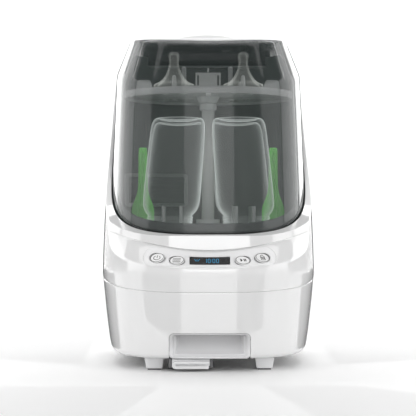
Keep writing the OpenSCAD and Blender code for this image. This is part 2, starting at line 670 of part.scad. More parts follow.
teat_places = [for (x = [-0.4, 0.4]) for (y = [-0.455, 0.455]) [x, y] * shelf_r];
module upper_shelf() color("gray") {
    difference() {
        union() {
            translate([0, 0, shelf_z + 3]) cylinder(r = shelf_r, h = 2.6);
            translate([0, 0, shelf_z - 4.7]) cylinder(r1 = 10.2, r2 = 15, h = 9);
        }
        translate([0, 0, shelf_z - 20]) cylinder(r = post_r - 2 + slide_gap, h = 60);
        for (p = teat_places) translate([p[0], p[1], shelf_z - 5]) for (a = [0:45:315]) rotate([0, 0, a])
            translate([9, -3, 0]) cube([11, 6, 20]);
        for (a = [0:18:342]) rotate([0, 0, a]) translate([shelf_r - 16, -3, shelf_z - 5]) cube([9, 6, 20]);
        for (a = [0:90:270]) rotate([0, 0, a]) translate([22, -3, shelf_z - 5]) cube([34, 6, 20]);
    }
    difference() {
        translate([0, 0, shelf_z]) cylinder(r = shelf_r, h = 8.2);
        translate([0, 0, shelf_z - 1]) cylinder(r = shelf_r - 2.2, h = 12);
    }
    for (p = teat_places) translate([p[0], p[1], shelf_z + 5.6]) {
        cylinder(r1 = 3.2, r2 = 2.4, h = 17);
        translate([0, 0, 17]) sphere(r = 2.4);
    }
    for (s = [-1, 1]) {
        translate([s * 29, shelf_r - 31, shelf_z + 5.6]) {
            cylinder(r = 3, h = 38);
            translate([0, 0, 38]) sphere(r = 3);
        }
        translate([s * (shelf_r - 24), 0, shelf_z + 5.6]) rotate([90, 0, 0]) translate([0, 0, -9]) linear_extrude(height = 18)
            polygon([[-11, 0], [11, 0], [8, 15], [6, 17], [-6, 17], [-8, 15]]);
    }
}
module shelf_grip() color("lightgray") translate([0, 0, shelf_z + 5.6]) {
    difference() {
        translate([-15, -6, 0]) cube([30, 12, 26]);
        translate([0, 0, -1]) cylinder(r = post_r, h = 9);
        for (s = [-1, 1]) translate([s * 12 - 1, -7, 2]) cube([2, 14, 21]);
    }
    translate([-1, -14, 26]) cube([2, 28, 5]);
}

lower_shell();
upper_shell();
tower_cap();
hinge_deck();
base_plate();
feet();
foot_pads();
grip_pocket();
chamber_tub();
rim_seal();
button_panel();
display_lens();
display_module();
control_board();
button_switches();
button_power();
button_sterilize();
button_start();
button_dry();
heating_plate();
heating_element();
plate_seal();
thermostat();
blower_housing();
blower_motor();
impeller();
air_heater();
air_duct();
vent_frame();
vent_grille();
filter_rails();
filter_tray();
filter_mat();
power_board();
power_inlet();
hinge_brackets();
hinge_pins();
base_screws();
hood();
hood_knuckles();
lower_rack();
rack_stand();
centre_post();
post_collar();
upper_shelf();
shelf_grip();
lid_switch();
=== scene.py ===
"""Bottle sterilizer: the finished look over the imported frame, in metres.

The sections follow the machine as it is put together: the studio, the lower casing and what stands under it, the
upper casing, the control shelf, the chamber, the rack and shelf, the hood with its hinge, and the load inside.
"""

import math

import bpy
from mathutils import Matrix, Vector


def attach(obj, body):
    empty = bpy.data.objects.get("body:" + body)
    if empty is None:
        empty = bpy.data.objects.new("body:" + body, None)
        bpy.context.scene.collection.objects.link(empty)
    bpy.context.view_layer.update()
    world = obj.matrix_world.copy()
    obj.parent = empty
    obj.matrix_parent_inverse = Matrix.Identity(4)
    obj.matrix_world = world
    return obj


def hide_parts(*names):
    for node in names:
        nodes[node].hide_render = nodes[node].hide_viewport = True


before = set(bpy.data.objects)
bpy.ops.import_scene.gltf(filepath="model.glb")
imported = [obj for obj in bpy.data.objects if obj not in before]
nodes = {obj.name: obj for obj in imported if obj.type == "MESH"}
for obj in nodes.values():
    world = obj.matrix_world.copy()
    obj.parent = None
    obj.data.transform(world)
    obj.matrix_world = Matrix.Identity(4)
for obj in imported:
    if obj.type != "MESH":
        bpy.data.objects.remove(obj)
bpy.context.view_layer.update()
bpy.ops.object.select_all(action="DESELECT")

# ---------------- camera
# A level view of the front, from the height of the hood's lower third and a hand's breadth left of the middle.
bpy.ops.object.camera_add(location=(-0.026, -1.7, 0.1818), rotation=(math.pi / 2, 0, -math.atan2(0.026, 1.7)))
camera = bpy.context.object
camera.data.sensor_width = 36
camera.data.lens = 122.6
camera.data.clip_end = 20
bpy.context.scene.camera = camera
bpy.context.scene.view_settings.view_transform = "Standard"

# ---------------- floor and backdrop
# A seamless pale sweep of painted board: the floor curves up into the backdrop well behind the machine.
bpy.ops.mesh.primitive_plane_add(size=1, location=(0, 0, 0))
sweep = bpy.context.object
sweep.name = "studio_sweep"
bpy.ops.object.mode_set(mode="EDIT")
bpy.ops.transform.resize(value=(14, 5, 1))
bpy.ops.mesh.select_all(action="DESELECT")
bpy.ops.object.mode_set(mode="OBJECT")
for vertex in sweep.data.vertices:
    vertex.co.y = 2.5 if vertex.co.y > 0 else -7
for edge in sweep.data.edges:
    edge.select = all(sweep.data.vertices[i].co.y > 2 for i in edge.vertices)
bpy.ops.object.mode_set(mode="EDIT")
bpy.ops.mesh.select_mode(type="EDGE")
for turn in range(10):
    lean = math.radians(90 * (turn + 0.5) / 10)
    bpy.ops.mesh.extrude_region_move(
        TRANSFORM_OT_translate={"value": (0, 0.16 * math.cos(lean), 0.16 * math.sin(lean))}
    )
bpy.ops.mesh.extrude_region_move(TRANSFORM_OT_translate={"value": (0, 0, 3)})
bpy.ops.mesh.select_all(action="SELECT")
bpy.ops.mesh.normals_make_consistent(inside=False)
bpy.ops.object.mode_set(mode="OBJECT")
bpy.ops.object.shade_smooth()


def feed(node, values):
    """Sets inputs of a shader node: another node's output is linked, and anything else is put on the socket."""
    for socket, value in values.items():
        if isinstance(value, bpy.types.NodeSocket):
            node.id_data.links.new(value, node.inputs[socket])
        else:
            node.inputs[socket].default_value = value


def new_paint(name, values):
    """A new material and its shader, with these values on the shader."""
    paint = bpy.data.materials.new(name)
    paint.use_nodes = True
    shader = paint.node_tree.nodes["Principled BSDF"]
    feed(shader, values)
    return paint, shader


def made(shader, kind, output, values=None, **settings):
    """Adds a node beside the shader, with its inputs fed, and returns the output asked for."""
    node = shader.id_data.nodes.new("ShaderNode" + kind)
    for setting, value in settings.items():
        setattr(node, setting, value)
    feed(node, values or {})
    return node.outputs[output]


sweep.data.materials.append(new_paint("pale_board", {"Base Color": (0.98, 0.98, 0.98, 1), "Roughness": 0.6})[0])

# ---------------- lamps
# Soft boxes round the machine. The gaps between the front box and the side boxes draw the upright bands on the gloss.
# The four at the sides and behind, and the black cards, are seen only in the gloss and shade the casing's flanks.
world = bpy.data.worlds.new("studio_air")
world.use_nodes = True
world.node_tree.nodes["Background"].inputs["Color"].default_value = (1, 1, 1, 1)
world.node_tree.nodes["Background"].inputs["Strength"].default_value = 0.24
bpy.context.scene.world = world


def soft_box(name, place, aim, width, height, radiance):
    """A lamp panel facing aim; radiance is how bright the panel itself looks."""
    bpy.ops.object.light_add(type="AREA", location=place)
    lamp = bpy.context.object
    lamp.name = name
    lamp.data.shape = "RECTANGLE"
    lamp.data.size = width
    lamp.data.size_y = height
    lamp.data.energy = radiance * width * height * math.pi
    lamp.rotation_euler = (Vector(aim) - Vector(place)).to_track_quat("-Z", "Y").to_euler()
    lamp.visible_camera = False
    return lamp


soft_box("front_box", (0.03, -2.6, 1.25), (0.03, 0, 1.1), 0.8, 3.0, 2.25)
soft_box("left_box", (-2.9, -1.35, 1.3), (0, 0, 0.5), 2.2, 2.8, 1.6)
soft_box("right_box", (2.7, -1.75, 1.3), (0, 0, 0.5), 2.3, 2.8, 1.6)
for name, place, width, height, radiance in (
    ("left_wing", (-2.6, 0.9, 1.35), 2.4, 2.3, 2.2),
    ("right_wing", (2.6, 0.6, 1.35), 2.4, 2.3, 2.2),
    ("left_back", (-1.3, 2.3, 0.85), 1.7, 1.3, 3.1),
    ("right_back", (1.3, 2.3, 0.85), 1.7, 1.3, 3.1),
):
    gloss_lamp = soft_box(name, place, (0, 0, place[2]), width, height, radiance)
    gloss_lamp.visible_diffuse = False
soft_box("top_box", (0, 0.1, 2.6), (0, 0, 0), 2.6, 2.0, 1.15)
soft_box("backdrop_box", (0, 0.9, 2.6), (0, 3.4, 0.6), 5.0, 1.4, 3.5)

card_black = new_paint("black_card", {"Base Color": (0.02, 0.02, 0.022, 1), "Roughness": 0.9})[0]
for name, corners in {
    "card_front_left": ((-0.24, -0.25, 0.002), (-0.052, -0.25, 0.002), (-2.1, -1.6, 0.002), (-0.28, -1.6, 0.002)),
    "card_front_right": ((0.052, -0.25, 0.002), (0.151, -0.25, 0.002), (0.28, -1.6, 0.002), (1.13, -1.6, 0.002)),
    "card_flank_left": ((-1.4, 0.66, 0.002), (-0.15, -0.05, 0.002), (-1.4, 2.4, 0.002), (-0.15, 2.4, 0.002)),
    "card_flank_right": ((0.15, -0.05, 0.002), (1.4, 0.5, 0.002), (0.15, 2.4, 0.002), (1.4, 2.4, 0.002)),
    "card_edge_left": ((-0.64, 1.9, 0), (-0.24, 1.9, 0), (-0.64, 1.9, 0.8), (-0.24, 1.9, 0.8)),
    "card_edge_right": ((0.24, 1.9, 0), (0.74, 1.9, 0), (0.24, 1.9, 0.8), (0.74, 1.9, 0.8)),
}.items():
    bpy.ops.object.select_all(action="DESELECT")
    bpy.ops.mesh.primitive_plane_add(size=1)
    card = bpy.context.object
    card.name = name
    for vertex, corner in zip(card.data.vertices, corners):
        vertex.co = corner
    card.data.materials.append(card_black)
    card.visible_camera = card.visible_diffuse = card.visible_shadow = False

# ---------------- lower casing
# The lower half of the outside: one deep white gloss ABS moulding with 3 mm walls and a rounded bottom edge, open
# below, screwed to the base plate. It has the hand hold's mouth in front and the mains inlet's cut-out behind.
body_w, body_d, base_w, crease_w, body_h = 249, 284, 225, 222, 403
waist_z, crease_z, hood_top_z, rim_z, foot_h = 109, 341, 380, 151, 14
half_d, bottom_round, wall = body_d / 2, 8, 3
seam_z, seam_rise, seam_gap = 88, 15.5, 0.3
front_power, back_power, smooth_angle = 3, 3.6, math.radians(40)


def leaning(z, low_z, high_z, low, high, power):
    share = min(1.0, max(0.0, (z - low_z) / (high_z - low_z)))
    return low + (high - low) * share**power


def oval(p, a, front, back):
    """Distance from the middle to a squared oval's edge, towards p degrees."""
    power, depth = (front_power, front) if math.sin(math.radians(p)) < 0 else (back_power, back)
    c, s = abs(math.cos(math.radians(p))), abs(math.sin(math.radians(p)))
    return ((c / a) ** power + (s / depth) ** power) ** (-1 / power)


def rounding(z):
    up = min(bottom_round, max(0.0, z - foot_h))
    return bottom_round - math.sqrt(bottom_round**2 - (bottom_round - up) ** 2)


def casing_halves(z):
    """Half width and half depths, front and back, of the casing at height z."""
    if z < waist_z:
        a = leaning(waist_z - z, 0, waist_z, body_w / 2, base_w / 2, 1.3)
    elif z < crease_z:
        a = leaning(z, waist_z, crease_z, body_w / 2, crease_w / 2, 1.35)
    else:
        a = leaning(z, crease_z, hood_top_z, crease_w / 2, 94.5, 1)
    low = max(0.0, (waist_z - z) / waist_z) ** 1.3
    front = half_d - 11 * low
    back = half_d - 8 * low - 4 * max(0.0, (z - waist_z) / (body_h - waist_z))
    return a - rounding(z), front - rounding(z), back - rounding(z)


def casing_r(p, z):
    return oval(p, *casing_halves(z))


def seam_height(y):
    return seam_z + seam_rise * (1 - max(0.0, -y / half_d) ** 1.5)


def seam_at(p, lift=0.0):
    z = seam_z + 8
    for _ in range(25):
        z = seam_height(casing_r(p, z) * math.sin(math.radians(p))) + lift
    return z


def spread(low, high, count):
    return [low + (high - low) * i / (count - 1) for i in range(count)]


def softened(points, radius, steps=3):
    """Rounds every inner corner of a line of (distance, height) points."""
    line = [points[0]]
    for before, corner, after in zip(points, points[1:], points[2:]):
        cuts = []
        for other in (before, after):
            dx, dz = other[0] - corner[0], other[1] - corner[1]
            long = math.hypot(dx, dz)
            share = min(radius / long, 0.45) if long > 1e-9 else 0
            cuts.append((corner[0] + dx * share, corner[1] + dz * share))
        for i in range(steps + 1):
            t = i / steps
            line.append(
                tuple((1 - t) ** 2 * cuts[0][k] + 2 * t * (1 - t) * corner[k] + t * t * cuts[1][k] for k in (0, 1))
            )
    return line + [points[-1]]


def column_angles(count):
    """Angles round the outline, a little closer together at the corners."""
    return [i * 360 / count - 4.2 * math.sin(math.radians(4 * i * 360 / count)) / 2 for i in range(count + 1)]


def rolled(name, rows):
    """Rolls a flat grid of quads into a skin: one row of the grid for each row of points, given in millimetres."""
    bpy.ops.object.select_all(action="DESELECT")
    bpy.ops.mesh.primitive_grid_add(x_subdivisions=len(rows[0]) - 1, y_subdivisions=len(rows) - 1, size=1)
    piece = bpy.context.object
    piece.name = name
    flat = [value / 1000 for row in rows for point in row for value in point]
    piece.data.vertices.foreach_set("co", flat)
    piece.data.update()
    bpy.ops.object.mode_set(mode="EDIT")
    bpy.ops.mesh.select_all(action="SELECT")
    bpy.ops.mesh.remove_doubles(threshold=1e-6)
    bpy.ops.mesh.dissolve_degenerate(threshold=1e-7)
    bpy.ops.mesh.normals_make_consistent(inside=False)
    bpy.ops.object.mode_set(mode="OBJECT")
    bpy.ops.object.shade_smooth_by_angle(angle=smooth_angle)
    return piece


def around(angle, radius, depth=None):
    """x and y of a point on a circle, or on an oval with its own depth."""
    turn = math.radians(angle)
    return radius * math.cos(turn), (radius if depth is None else depth) * math.sin(turn)


def columns_to_rows(name, columns):
    """A skin from its columns; each is (angle, line of (distance, height))."""
    count = len(columns[0][1])
    return rolled(name, [[(*around(p, line[j][0]), line[j][1]) for p, line in columns] for j in range(count)])


def worked(piece, kind, **settings):
    """Makes the piece the active one and applies one modifier to it."""
    bpy.ops.object.select_all(action="DESELECT")
    piece.select_set(True)
    bpy.context.view_layer.objects.active = piece
    step = piece.modifiers.new(kind.lower(), kind)
    for setting, value in settings.items():
        setattr(step, setting, value)
    bpy.ops.object.modifier_apply(modifier=step.name)


def cut_away(piece, cutter):
    """Cuts the cutter's shape out of the piece."""
    worked(piece, "BOOLEAN", operation="DIFFERENCE", solver="EXACT", object=cutter)
    bpy.ops.object.shade_smooth_by_angle(angle=smooth_angle)
    bpy.data.objects.remove(cutter)


def cutter_box(place, size):
    """A plain box to cut with, its middle at place, in metres."""
    bpy.ops.mesh.primitive_cube_add(size=1, location=place)
    bpy.ops.object.mode_set(mode="EDIT")
    bpy.ops.transform.resize(value=size)
    bpy.ops.object.mode_set(mode="OBJECT")
    bpy.ops.object.transform_apply(location=True, rotation=True, scale=True)
    return bpy.context.object


def gloss_paint(name, colour, roughness, coat=0.0, bump=0.02, scale=900, spread_by=0.04):
    """Moulded plastic: an even colour with a faint mould texture in its gloss and its surface."""
    paint, shader = new_paint(name, {"Coat Weight": coat, "Coat Roughness": 0.05})
    place = made(shader, "TexCoord", "Object")
    cloud = made(shader, "TexNoise", "Fac", {"Scale": 14, "Detail": 4, "Vector": place})
    grain = made(shader, "TexNoise", "Fac", {"Scale": scale, "Detail": 2, "Vector": place})
    dull = (*[c * (1 - spread_by) for c in colour], 1)
    clean = (*[min(1, c * (1 + spread_by / 2)) for c in colour], 1)
    tint = made(shader, "Mix", "Result", {"A": dull, "B": clean, "Factor": cloud}, data_type="RGBA")
    limits = {"To Min": roughness * 0.85, "To Max": min(1, roughness * 1.2)}
    rough = made(shader, "MapRange", "Result", limits | {"Value": cloud})
    relief = made(shader, "Bump", "Normal", {"Strength": bump, "Distance": 0.0002, "Height": grain})
    feed(shader, {"Base Color": tint, "Roughness": rough, "Normal": relief})
    return paint


def dressed(piece, paint, slot, body, *stands_for):
    """Paints a new piece, says which body it rides on, and hides what it stands for; slot is not used."""
    piece.data.materials.clear()
    piece.data.materials.append(paint)
    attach(piece, body)
    if stands_for:
        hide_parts(*stands_for)
    return piece


casing_columns = column_angles(216)
lower_columns = []
for p in casing_columns:
    top = seam_at(p)
    heights = [14, 14.4, 15.2, 16.4, 17.8, 19.6, 22] + spread(22, top - 0.8, 14)[1:]
    outer = [(casing_r(p, z) - 0.3, z) for z in heights]
    r = casing_r(p, top) - 0.3
    outer += [(r - 0.12, top - 0.3), (r - 0.45, top), (r - 0.9, top), (r - 1.0, top + 0.22)]
    inner = [(r - wall, top + 0.22)] + [(casing_r(p, z) - wall - 0.3, z) for z in reversed(spread(22, top, 6)[:-1])]
    inner += [(casing_r(p, z) - wall - 0.3, z) for z in (18, 14)]
    lower_columns.append((p, outer + inner + [outer[0]]))
lower_casing = columns_to_rows("lower_casing", lower_columns)

mouth = cutter_box((0, -0.14, 0.0235), (0.0906, 0.06, 0.0396))
weights = mouth.data.attributes.new("bevel_weight_edge", "FLOAT", "EDGE")
for edge in mouth.data.edges:
    ends = [mouth.data.vertices[i].co for i in edge.vertices]
    along_y = abs(ends[0].y - ends[1].y) > 0.01
    weights.data[edge.index].value = 1.0 if along_y else 0.0
worked(mouth, "BEVEL", width=0.0053, segments=6, limit_method="WEIGHT")
cut_away(lower_casing, mouth)

inlet_x, inlet_z, inlet_w, inlet_h = 0.036, 0.042, 0.0266, 0.0206
cut_away(lower_casing, cutter_box((inlet_x, 0.135, inlet_z), (inlet_w, 0.06, inlet_h)))

white_gloss = gloss_paint("white_gloss_abs", (0.87, 0.87, 0.87), 0.1, coat=1.0, bump=0.012, scale=700, spread_by=0.012)
white_gloss.node_tree.nodes["Principled BSDF"].inputs["Coat IOR"].default_value = 1.8
dressed(lower_casing, white_gloss, "white_body", "base", "lower_shell")

# ---------------- hand hold
# A scooped hold in the lower casing's front: a separate white tray, bonded in from behind, with a plain rim flush
# with the casing and a floor that climbs towards the back. Its paint darkens high up and deep inside, as painted
# shade under the hold's roof.


def casing_front(x, z):
    a, front, _ = casing_halves(z)
    return -front * (1 - min(1, abs(x) / a) ** front_power) ** (1 / front_power)


def rounded_frame(half, low, high, radius, top_half=None):
    """Points round an upright rounded rectangle, x and z, starting at the middle of its foot."""
    top_half = half if top_half is None else top_half
    path = [(0, low)] + [(t * (half - radius), low) for t in (0.33, 0.66, 1)]
    arcs = ((half - radius, low + radius), (top_half - radius, high - radius))
    for (middle_x, middle_z), turns in zip(arcs, (range(-75, 1, 15), range(0, 91, 15))):
        for x, z in (around(t, radius) for t in turns):
            path.append((middle_x + x, middle_z + z))
    path += [(t * (top_half - radius), high) for t in (0.66, 0.33)] + [(0, high)]
    return path + [(-x, z) for x, z in reversed(path[1:-1])] + [path[0]]


hold_rows = []
for half, top_half, low, high, radius, depth in (
    (45.0, 45.0, 14.2, 43.0, 5.0, 5.0),
    (45.0, 45.0, 14.2, 43.0, 5.0, 0.7),
    (44.6, 44.6, 14.5, 42.7, 4.8, 0.3),
    (43.6, 43.6, 14.9, 42.3, 4.5, 0.3),
    (42.6, 42.2, 15.3, 41.9, 4.1, 0.7),
    (41.6, 41.2, 15.9, 41.4, 3.6, 1.7),
    (40.6, 40.4, 16.6, 41.1, 2.4, 3.4),
    (39.8, 39.4, 17.8, 40.9, 1.4, 7.0),
    (38.6, 37.8, 19.8, 40.7, 1.0, 12.0),
    (37.4, 36.6, 22.4, 40.5, 0.8, 17.0),
    (36.4, 35.4, 25.6, 40.4, 0.8, 21.0),
    (35.6, 34.6, 29.6, 40.3, 0.8, 24.0),
    (35.0, 34.0, 34.0, 40.2, 0.8, 26.0),
    (34.0, 33.6, 37.4, 39.6, 0.6, 26.6),
    (20.0, 20.0, 38.2, 39.0, 0.3, 26.6),
    (0.2, 0.2, 38.6, 38.7, 0.02, 26.6),
):
    ring = []
    for x, z in rounded_frame(half, low, high, radius, top_half):
        near = casing_front(x, max(z, foot_h))
        ring.append((x, near + depth if depth < 6 else max(near + 3, -half_d + 9 + depth - 9), z))
    hold_rows.append(ring)
hand_hold = rolled("hand_hold", hold_rows)
hold_paint = gloss_paint("white_satin_abs", (0.84, 0.84, 0.85), 0.3, bump=0.05, scale=1400, spread_by=0.015)
recess_painted_shade = gloss_paint("white_satin_recess_painted_shade", (0.86, 0.86, 0.87), 0.32, bump=0.05, scale=1400, spread_by=0.015)
# Painted shade: the tray's colour is mixed towards dark grey where it is both high and deep in the hold, for the shadow
# under its roof.
recess_shader = recess_painted_shade.node_tree.nodes["Principled BSDF"]
recess_axes = made(recess_shader, "SeparateXYZ", "Z", {"Vector": made(recess_shader, "TexCoord", "Object")}).node
upwards = {"From Min": 0.023, "From Max": 0.041, "To Min": 0.0, "To Max": 0.62, "Value": recess_axes.outputs["Z"]}
inwards = {"From Min": -0.1385, "From Max": -0.132, "Value": recess_axes.outputs["Y"]}
painted_shade_ramps = [made(recess_shader, "MapRange", "Result", values) for values in (upwards, inwards)]
painted_shade_share = made(recess_shader, "Math", "Value", dict(enumerate(painted_shade_ramps)), operation="MULTIPLY")
plain_tone = recess_shader.inputs["Base Color"].links[0].from_socket
painted_shade_tones = {"A": plain_tone, "B": (0.3, 0.295, 0.3, 1), "Factor": painted_shade_share}
feed(recess_shader, {"Base Color": made(recess_shader, "Mix", "Result", painted_shade_tones, data_type="RGBA")})
dressed(hand_hold, recess_painted_shade, "white_satin", "base", "grip_pocket")

# ---------------- feet, base plate and filter
# Four tapered feet moulded with the flat base plate, soft pads glued under them, and the slim filter drawer that
# slides in between two rails from the front. All are carried over from the frame with their edges eased.


def carried(node, width, paint, slot, body, segments=2):
    """Carries a frame node over: its triangles are joined into faces, its edges are rounded, and it is painted."""
    piece = nodes[node].copy()
    piece.data = nodes[node].data.copy()
    piece.parent = None
    piece.name = node + "_part"
    for key in list(piece.keys()):
        del piece[key]
    bpy.context.collection.objects.link(piece)
    bpy.ops.object.select_all(action="DESELECT")
    piece.select_set(True)
    bpy.context.view_layer.objects.active = piece
    bpy.ops.object.mode_set(mode="EDIT")
    bpy.ops.mesh.select_mode(type="VERT")
    bpy.ops.mesh.select_all(action="SELECT")
    bpy.ops.mesh.remove_doubles(threshold=1e-6)
    bpy.ops.mesh.dissolve_limited(angle_limit=math.radians(0.5))
    bpy.ops.object.mode_set(mode="OBJECT")
    limit = math.radians(30)
    worked(piece, "BEVEL", width=width, segments=segments, limit_method="ANGLE", angle_limit=limit)
    bpy.ops.object.shade_smooth_by_angle(angle=limit)
    dressed(piece, paint, slot, body, node)


inner_white = gloss_paint("white_inner_pp", (0.8, 0.8, 0.8), 0.34, bump=0.08, scale=1600, spread_by=0.02)
pad_rubber = gloss_paint("grey_foot_rubber", (0.09, 0.09, 0.095), 0.75, bump=0.3, scale=2200, spread_by=0.12)
foam = gloss_paint("filter_foam", (0.12, 0.2, 0.3), 0.95, bump=0.9, scale=1800, spread_by=0.3)
carried("feet", 0.0012, hold_paint, "white_satin", "base", segments=3)
carried("foot_pads", 0.0004, pad_rubber, "foot_rubber", "base")
carried("base_plate", 0.0004, inner_white, "inner_plastic", "base")
# Painted shade: the rails are dark grey so that they pass for the shade under the casing.
rail_shade_grey = gloss_paint("grey_rail_pp_painted_shade", (0.16, 0.16, 0.165), 0.4, bump=0.1, scale=1600, spread_by=0.05)
carried("filter_rails", 0.0004, rail_shade_grey, "inner_plastic", "base")
carried("filter_tray", 0.0005, hold_paint, "white_satin", "filter")
nodes["filter_mat"].data.materials.clear()
nodes["filter_mat"].data.materials.append(foam)

# ---------------- upper casing
# The upper half: a white gloss ABS moulding that carries the tower behind the hood. Its front is scooped out in a
# crescent for the controls, under an overhanging band, and its rim follows the hood's edge up into the tower.
ridge_z, ledge_z, tip_z, shelf_reach = 114, 134, 152, 54
shelf_step, lip = 26, 3
band_step = shelf_step - lip
side_step, crease_step, groove_gap = 8.4, 3, 1.3
hood_top_w, hood_back, deck_top, ceiling_y, cap_y = 184, 92, 366, 84, 112


def step_share(p):
    off = (p - 270 + 180) % 360 - 180
    return max(0.0, 1 - (off / shelf_reach) ** 2)


def ridge_height(p):
    return tip_z - (tip_z - ridge_z) * step_share(p) ** 0.45


def ledge_height(p):
    return tip_z + 3 - (tip_z + 3 - ledge_z) * step_share(p) ** 1.3


def band_r(p, z):
    return casing_r(p, z) - band_step * step_share(p)


def ledge_r(p):
    return casing_r(p, ledge_height(p)) - shelf_step * step_share(p)


def hood_halves(z):
    level = min(max(z, rim_z), crease_z)
    a = casing_halves(level)[0] - leaning(z, rim_z, crease_z, side_step, crease_step, 1)
    return a, leaning(z, rim_z, crease_z, 114.7, 110.5, 1), leaning(z, rim_z, crease_z, 112, 111, 1)


def dip(p):
    return max(0.0, -math.sin(math.radians(p))) ** 1.5


def hood_r(p, z, grow=0.0):
    """Distance to the hood's outside, or grow outside it, towards p degrees at height z."""
    crease = crease_z - 25 * dip(p)
    top = hood_top_z - 7 * dip(p)
    if z <= crease:
        return oval(p, *hood_halves(z)) + grow
    share = min(1.0, (z - crease) / (top - crease))
    return leaning(share, 0, 1, oval(p, *hood_halves(crease)), oval(p, hood_top_w / 2, 80, hood_back), 1) + grow


def curve(a, b, c, d, steps):
    line = []
    for i in range(steps + 1):
        t = i / steps
        w = ((1 - t) ** 3, 3 * (1 - t) ** 2 * t, 3 * (1 - t) * t * t, t**3)
        line.append([sum(w[k] * q[j] for k, q in enumerate((a, b, c, d))) for j in (0, 1)])
    return line


def last_below(low, high, steps, holds):
    """Halves the way between two values and returns the last one where holds is still true."""
    for _ in range(steps):
        middle = (low + high) / 2
        low, high = (middle, high) if holds(middle) else (low, middle)
    return low


parting = (
    [[-400, rim_z], [-half_d + band_step - 4, rim_z]]
    + curve((-half_d + band_step, rim_z), (-66, rim_z + 19), (2, rim_z + 61), (24, crease_z - 23), 60)
    + curve((25, crease_z - 17), (30, crease_z + 9), (48, deck_top), (hood_back - 20, deck_top), 30)
    + [[400, deck_top]]
)


def parting_height(y):
    """Height of the line where hood and casing part, at depth y."""
    for (y0, z0), (y1, z1) in zip(parting, parting[1:]):
        if y0 <= y <= y1:
            return z0 + (z1 - z0) * (y - y0) / max(1e-9, y1 - y0)
    return deck_top


def parting_at(p, radius, raised=0.0):
    """Height where the wall towards p degrees meets the parting line, or meets it raised along its own slope."""

    def under_line(z):
        y = radius(p, z) * math.sin(math.radians(p))
        slope = (parting_height(y + 0.5) - parting_height(y - 0.5)) if raised else 0
        return z < min(parting_height(y) + raised * math.hypot(1, slope), deck_top + raised)

    return last_below(130.0, deck_top + 5, 36, under_line)


def wrapped_angles(pieces):
    """Angles from the front round the right side to the back and home, each stretch with its own spacing."""
    half = [-90.0]
    for stop, count in pieces:
        start = half[-1]
        half += [start + (stop - start) * (i + 1) / count for i in range(count)]
    return half + [180 - p for p in reversed(half[:-1])]


rim_angles = wrapped_angles([(-36, 34), (0, 24), (8, 16), (26, 26), (60, 20), (90, 16)])


def rim_inner_r(p, z):
    near = hood_r(p, min(z, deck_top), groove_gap)
    thin = band_r(p, z) - wall
    y = near * math.sin(math.radians(p))
    blend = min(1.0, max(0.0, (y - ceiling_y + 3) / 6))
    return min(band_r(p, z) - 1.2, near + (thin - near) * blend * blend * (3 - 2 * blend))


upper_columns = []
for p in rim_angles:
    foot = seam_at(p, seam_gap)
    ridge, ledge, top = ridge_height(p), ledge_height(p), parting_at(p, band_r)
    skin = [(casing_r(p, z), z) for z in spread(foot + 0.9, ridge, 12)]
    skin += [(ledge_r(p), ledge), (band_r(p, ledge + 0.6), ledge + 0.6)]
    skin += [(band_r(p, z), z) for z in spread(ledge + 0.6, top - 0.7, 26)[1:]]
    (near_r, near_z), (far_r, far_z) = skin[11:13]
    slope = [(near_r + (far_r - near_r) * t, near_z + (far_z - near_z) * t) for t in (0.12, 0.3, 0.5, 0.7, 0.88)]
    corners = softened([skin[10], skin[11], slope[0]], 1.1) + slope[1:4]
    corners += softened([slope[4], skin[12], skin[13], skin[14]], 0.7)
    outer = [(casing_r(p, foot) - 0.8, foot), (casing_r(p, foot) - 0.12, foot + 0.3)]
    outer += skin[:10] + corners + skin[15:]
    rim = band_r(p, top)
    outer += [(rim - 0.15, top - 0.2), (rim - 0.7, top)]
    inner_top = parting_at(p, rim_inner_r)
    hole = rim_inner_r(p, inner_top)
    inner = [(hole + 0.5, inner_top), (hole, inner_top - 0.5), (rim_inner_r(p, inner_top - 9), inner_top - 9)]
    under = min(band_r(p, inner_top - 13) - wall, rim_inner_r(p, inner_top - 13) + 6)
    inner += [(under, inner_top - 13)]
    inner += [(band_r(p, z) - wall, z) for z in spread(inner_top - 16, max(ledge + 8, foot + 40), 6)]
    inner += [(ledge_r(p) - wall, ledge + 0.5), (casing_r(p, ridge - 2) - wall - 1, ridge - 2)]
    inner += [(casing_r(p, z) - wall, z) for z in spread(ridge - 8, foot, 4)]
    upper_columns.append((p, outer + inner + [outer[0]]))
upper_casing = columns_to_rows("upper_casing", upper_columns)


def shelf_place(p, v):
    """The control shelf's own frame towards p degrees: across, up the slope, and out of the surface."""
    zr, zl = ridge_height(p), ledge_height(p)
    low = Vector((*around(p, casing_r(p, zr)), zr))
    up = Vector((*around(p, ledge_r(p)), zl)) - low
    tilt = math.atan2(up.z, math.hypot(up.x, up.y))
    turn = math.atan2(up.y, up.x) - math.pi / 2
    return Matrix.Translation(low + up * v) @ Matrix.Rotation(turn, 4, "Z") @ Matrix.Rotation(tilt, 4, "X")


def pill(width, length, bend, count=14):
    """Points round the control panel's outline, starting at the middle of its lower edge."""
    straight = width / 2 - length / 2
    path = [(s * straight, -length / 2 + bend * s * s) for s in spread(0, 1, count)]
    for x, y in (around(t, length / 2) for t in spread(-90, 90, 15)[1:-1]):
        path.append((straight + x, bend + y))
    path += [(s * straight, length / 2 + bend * s * s) for s in spread(1, 0, count)]
    return path + [(-x, y) for x, y in reversed(path[1:-1])] + [path[0]]


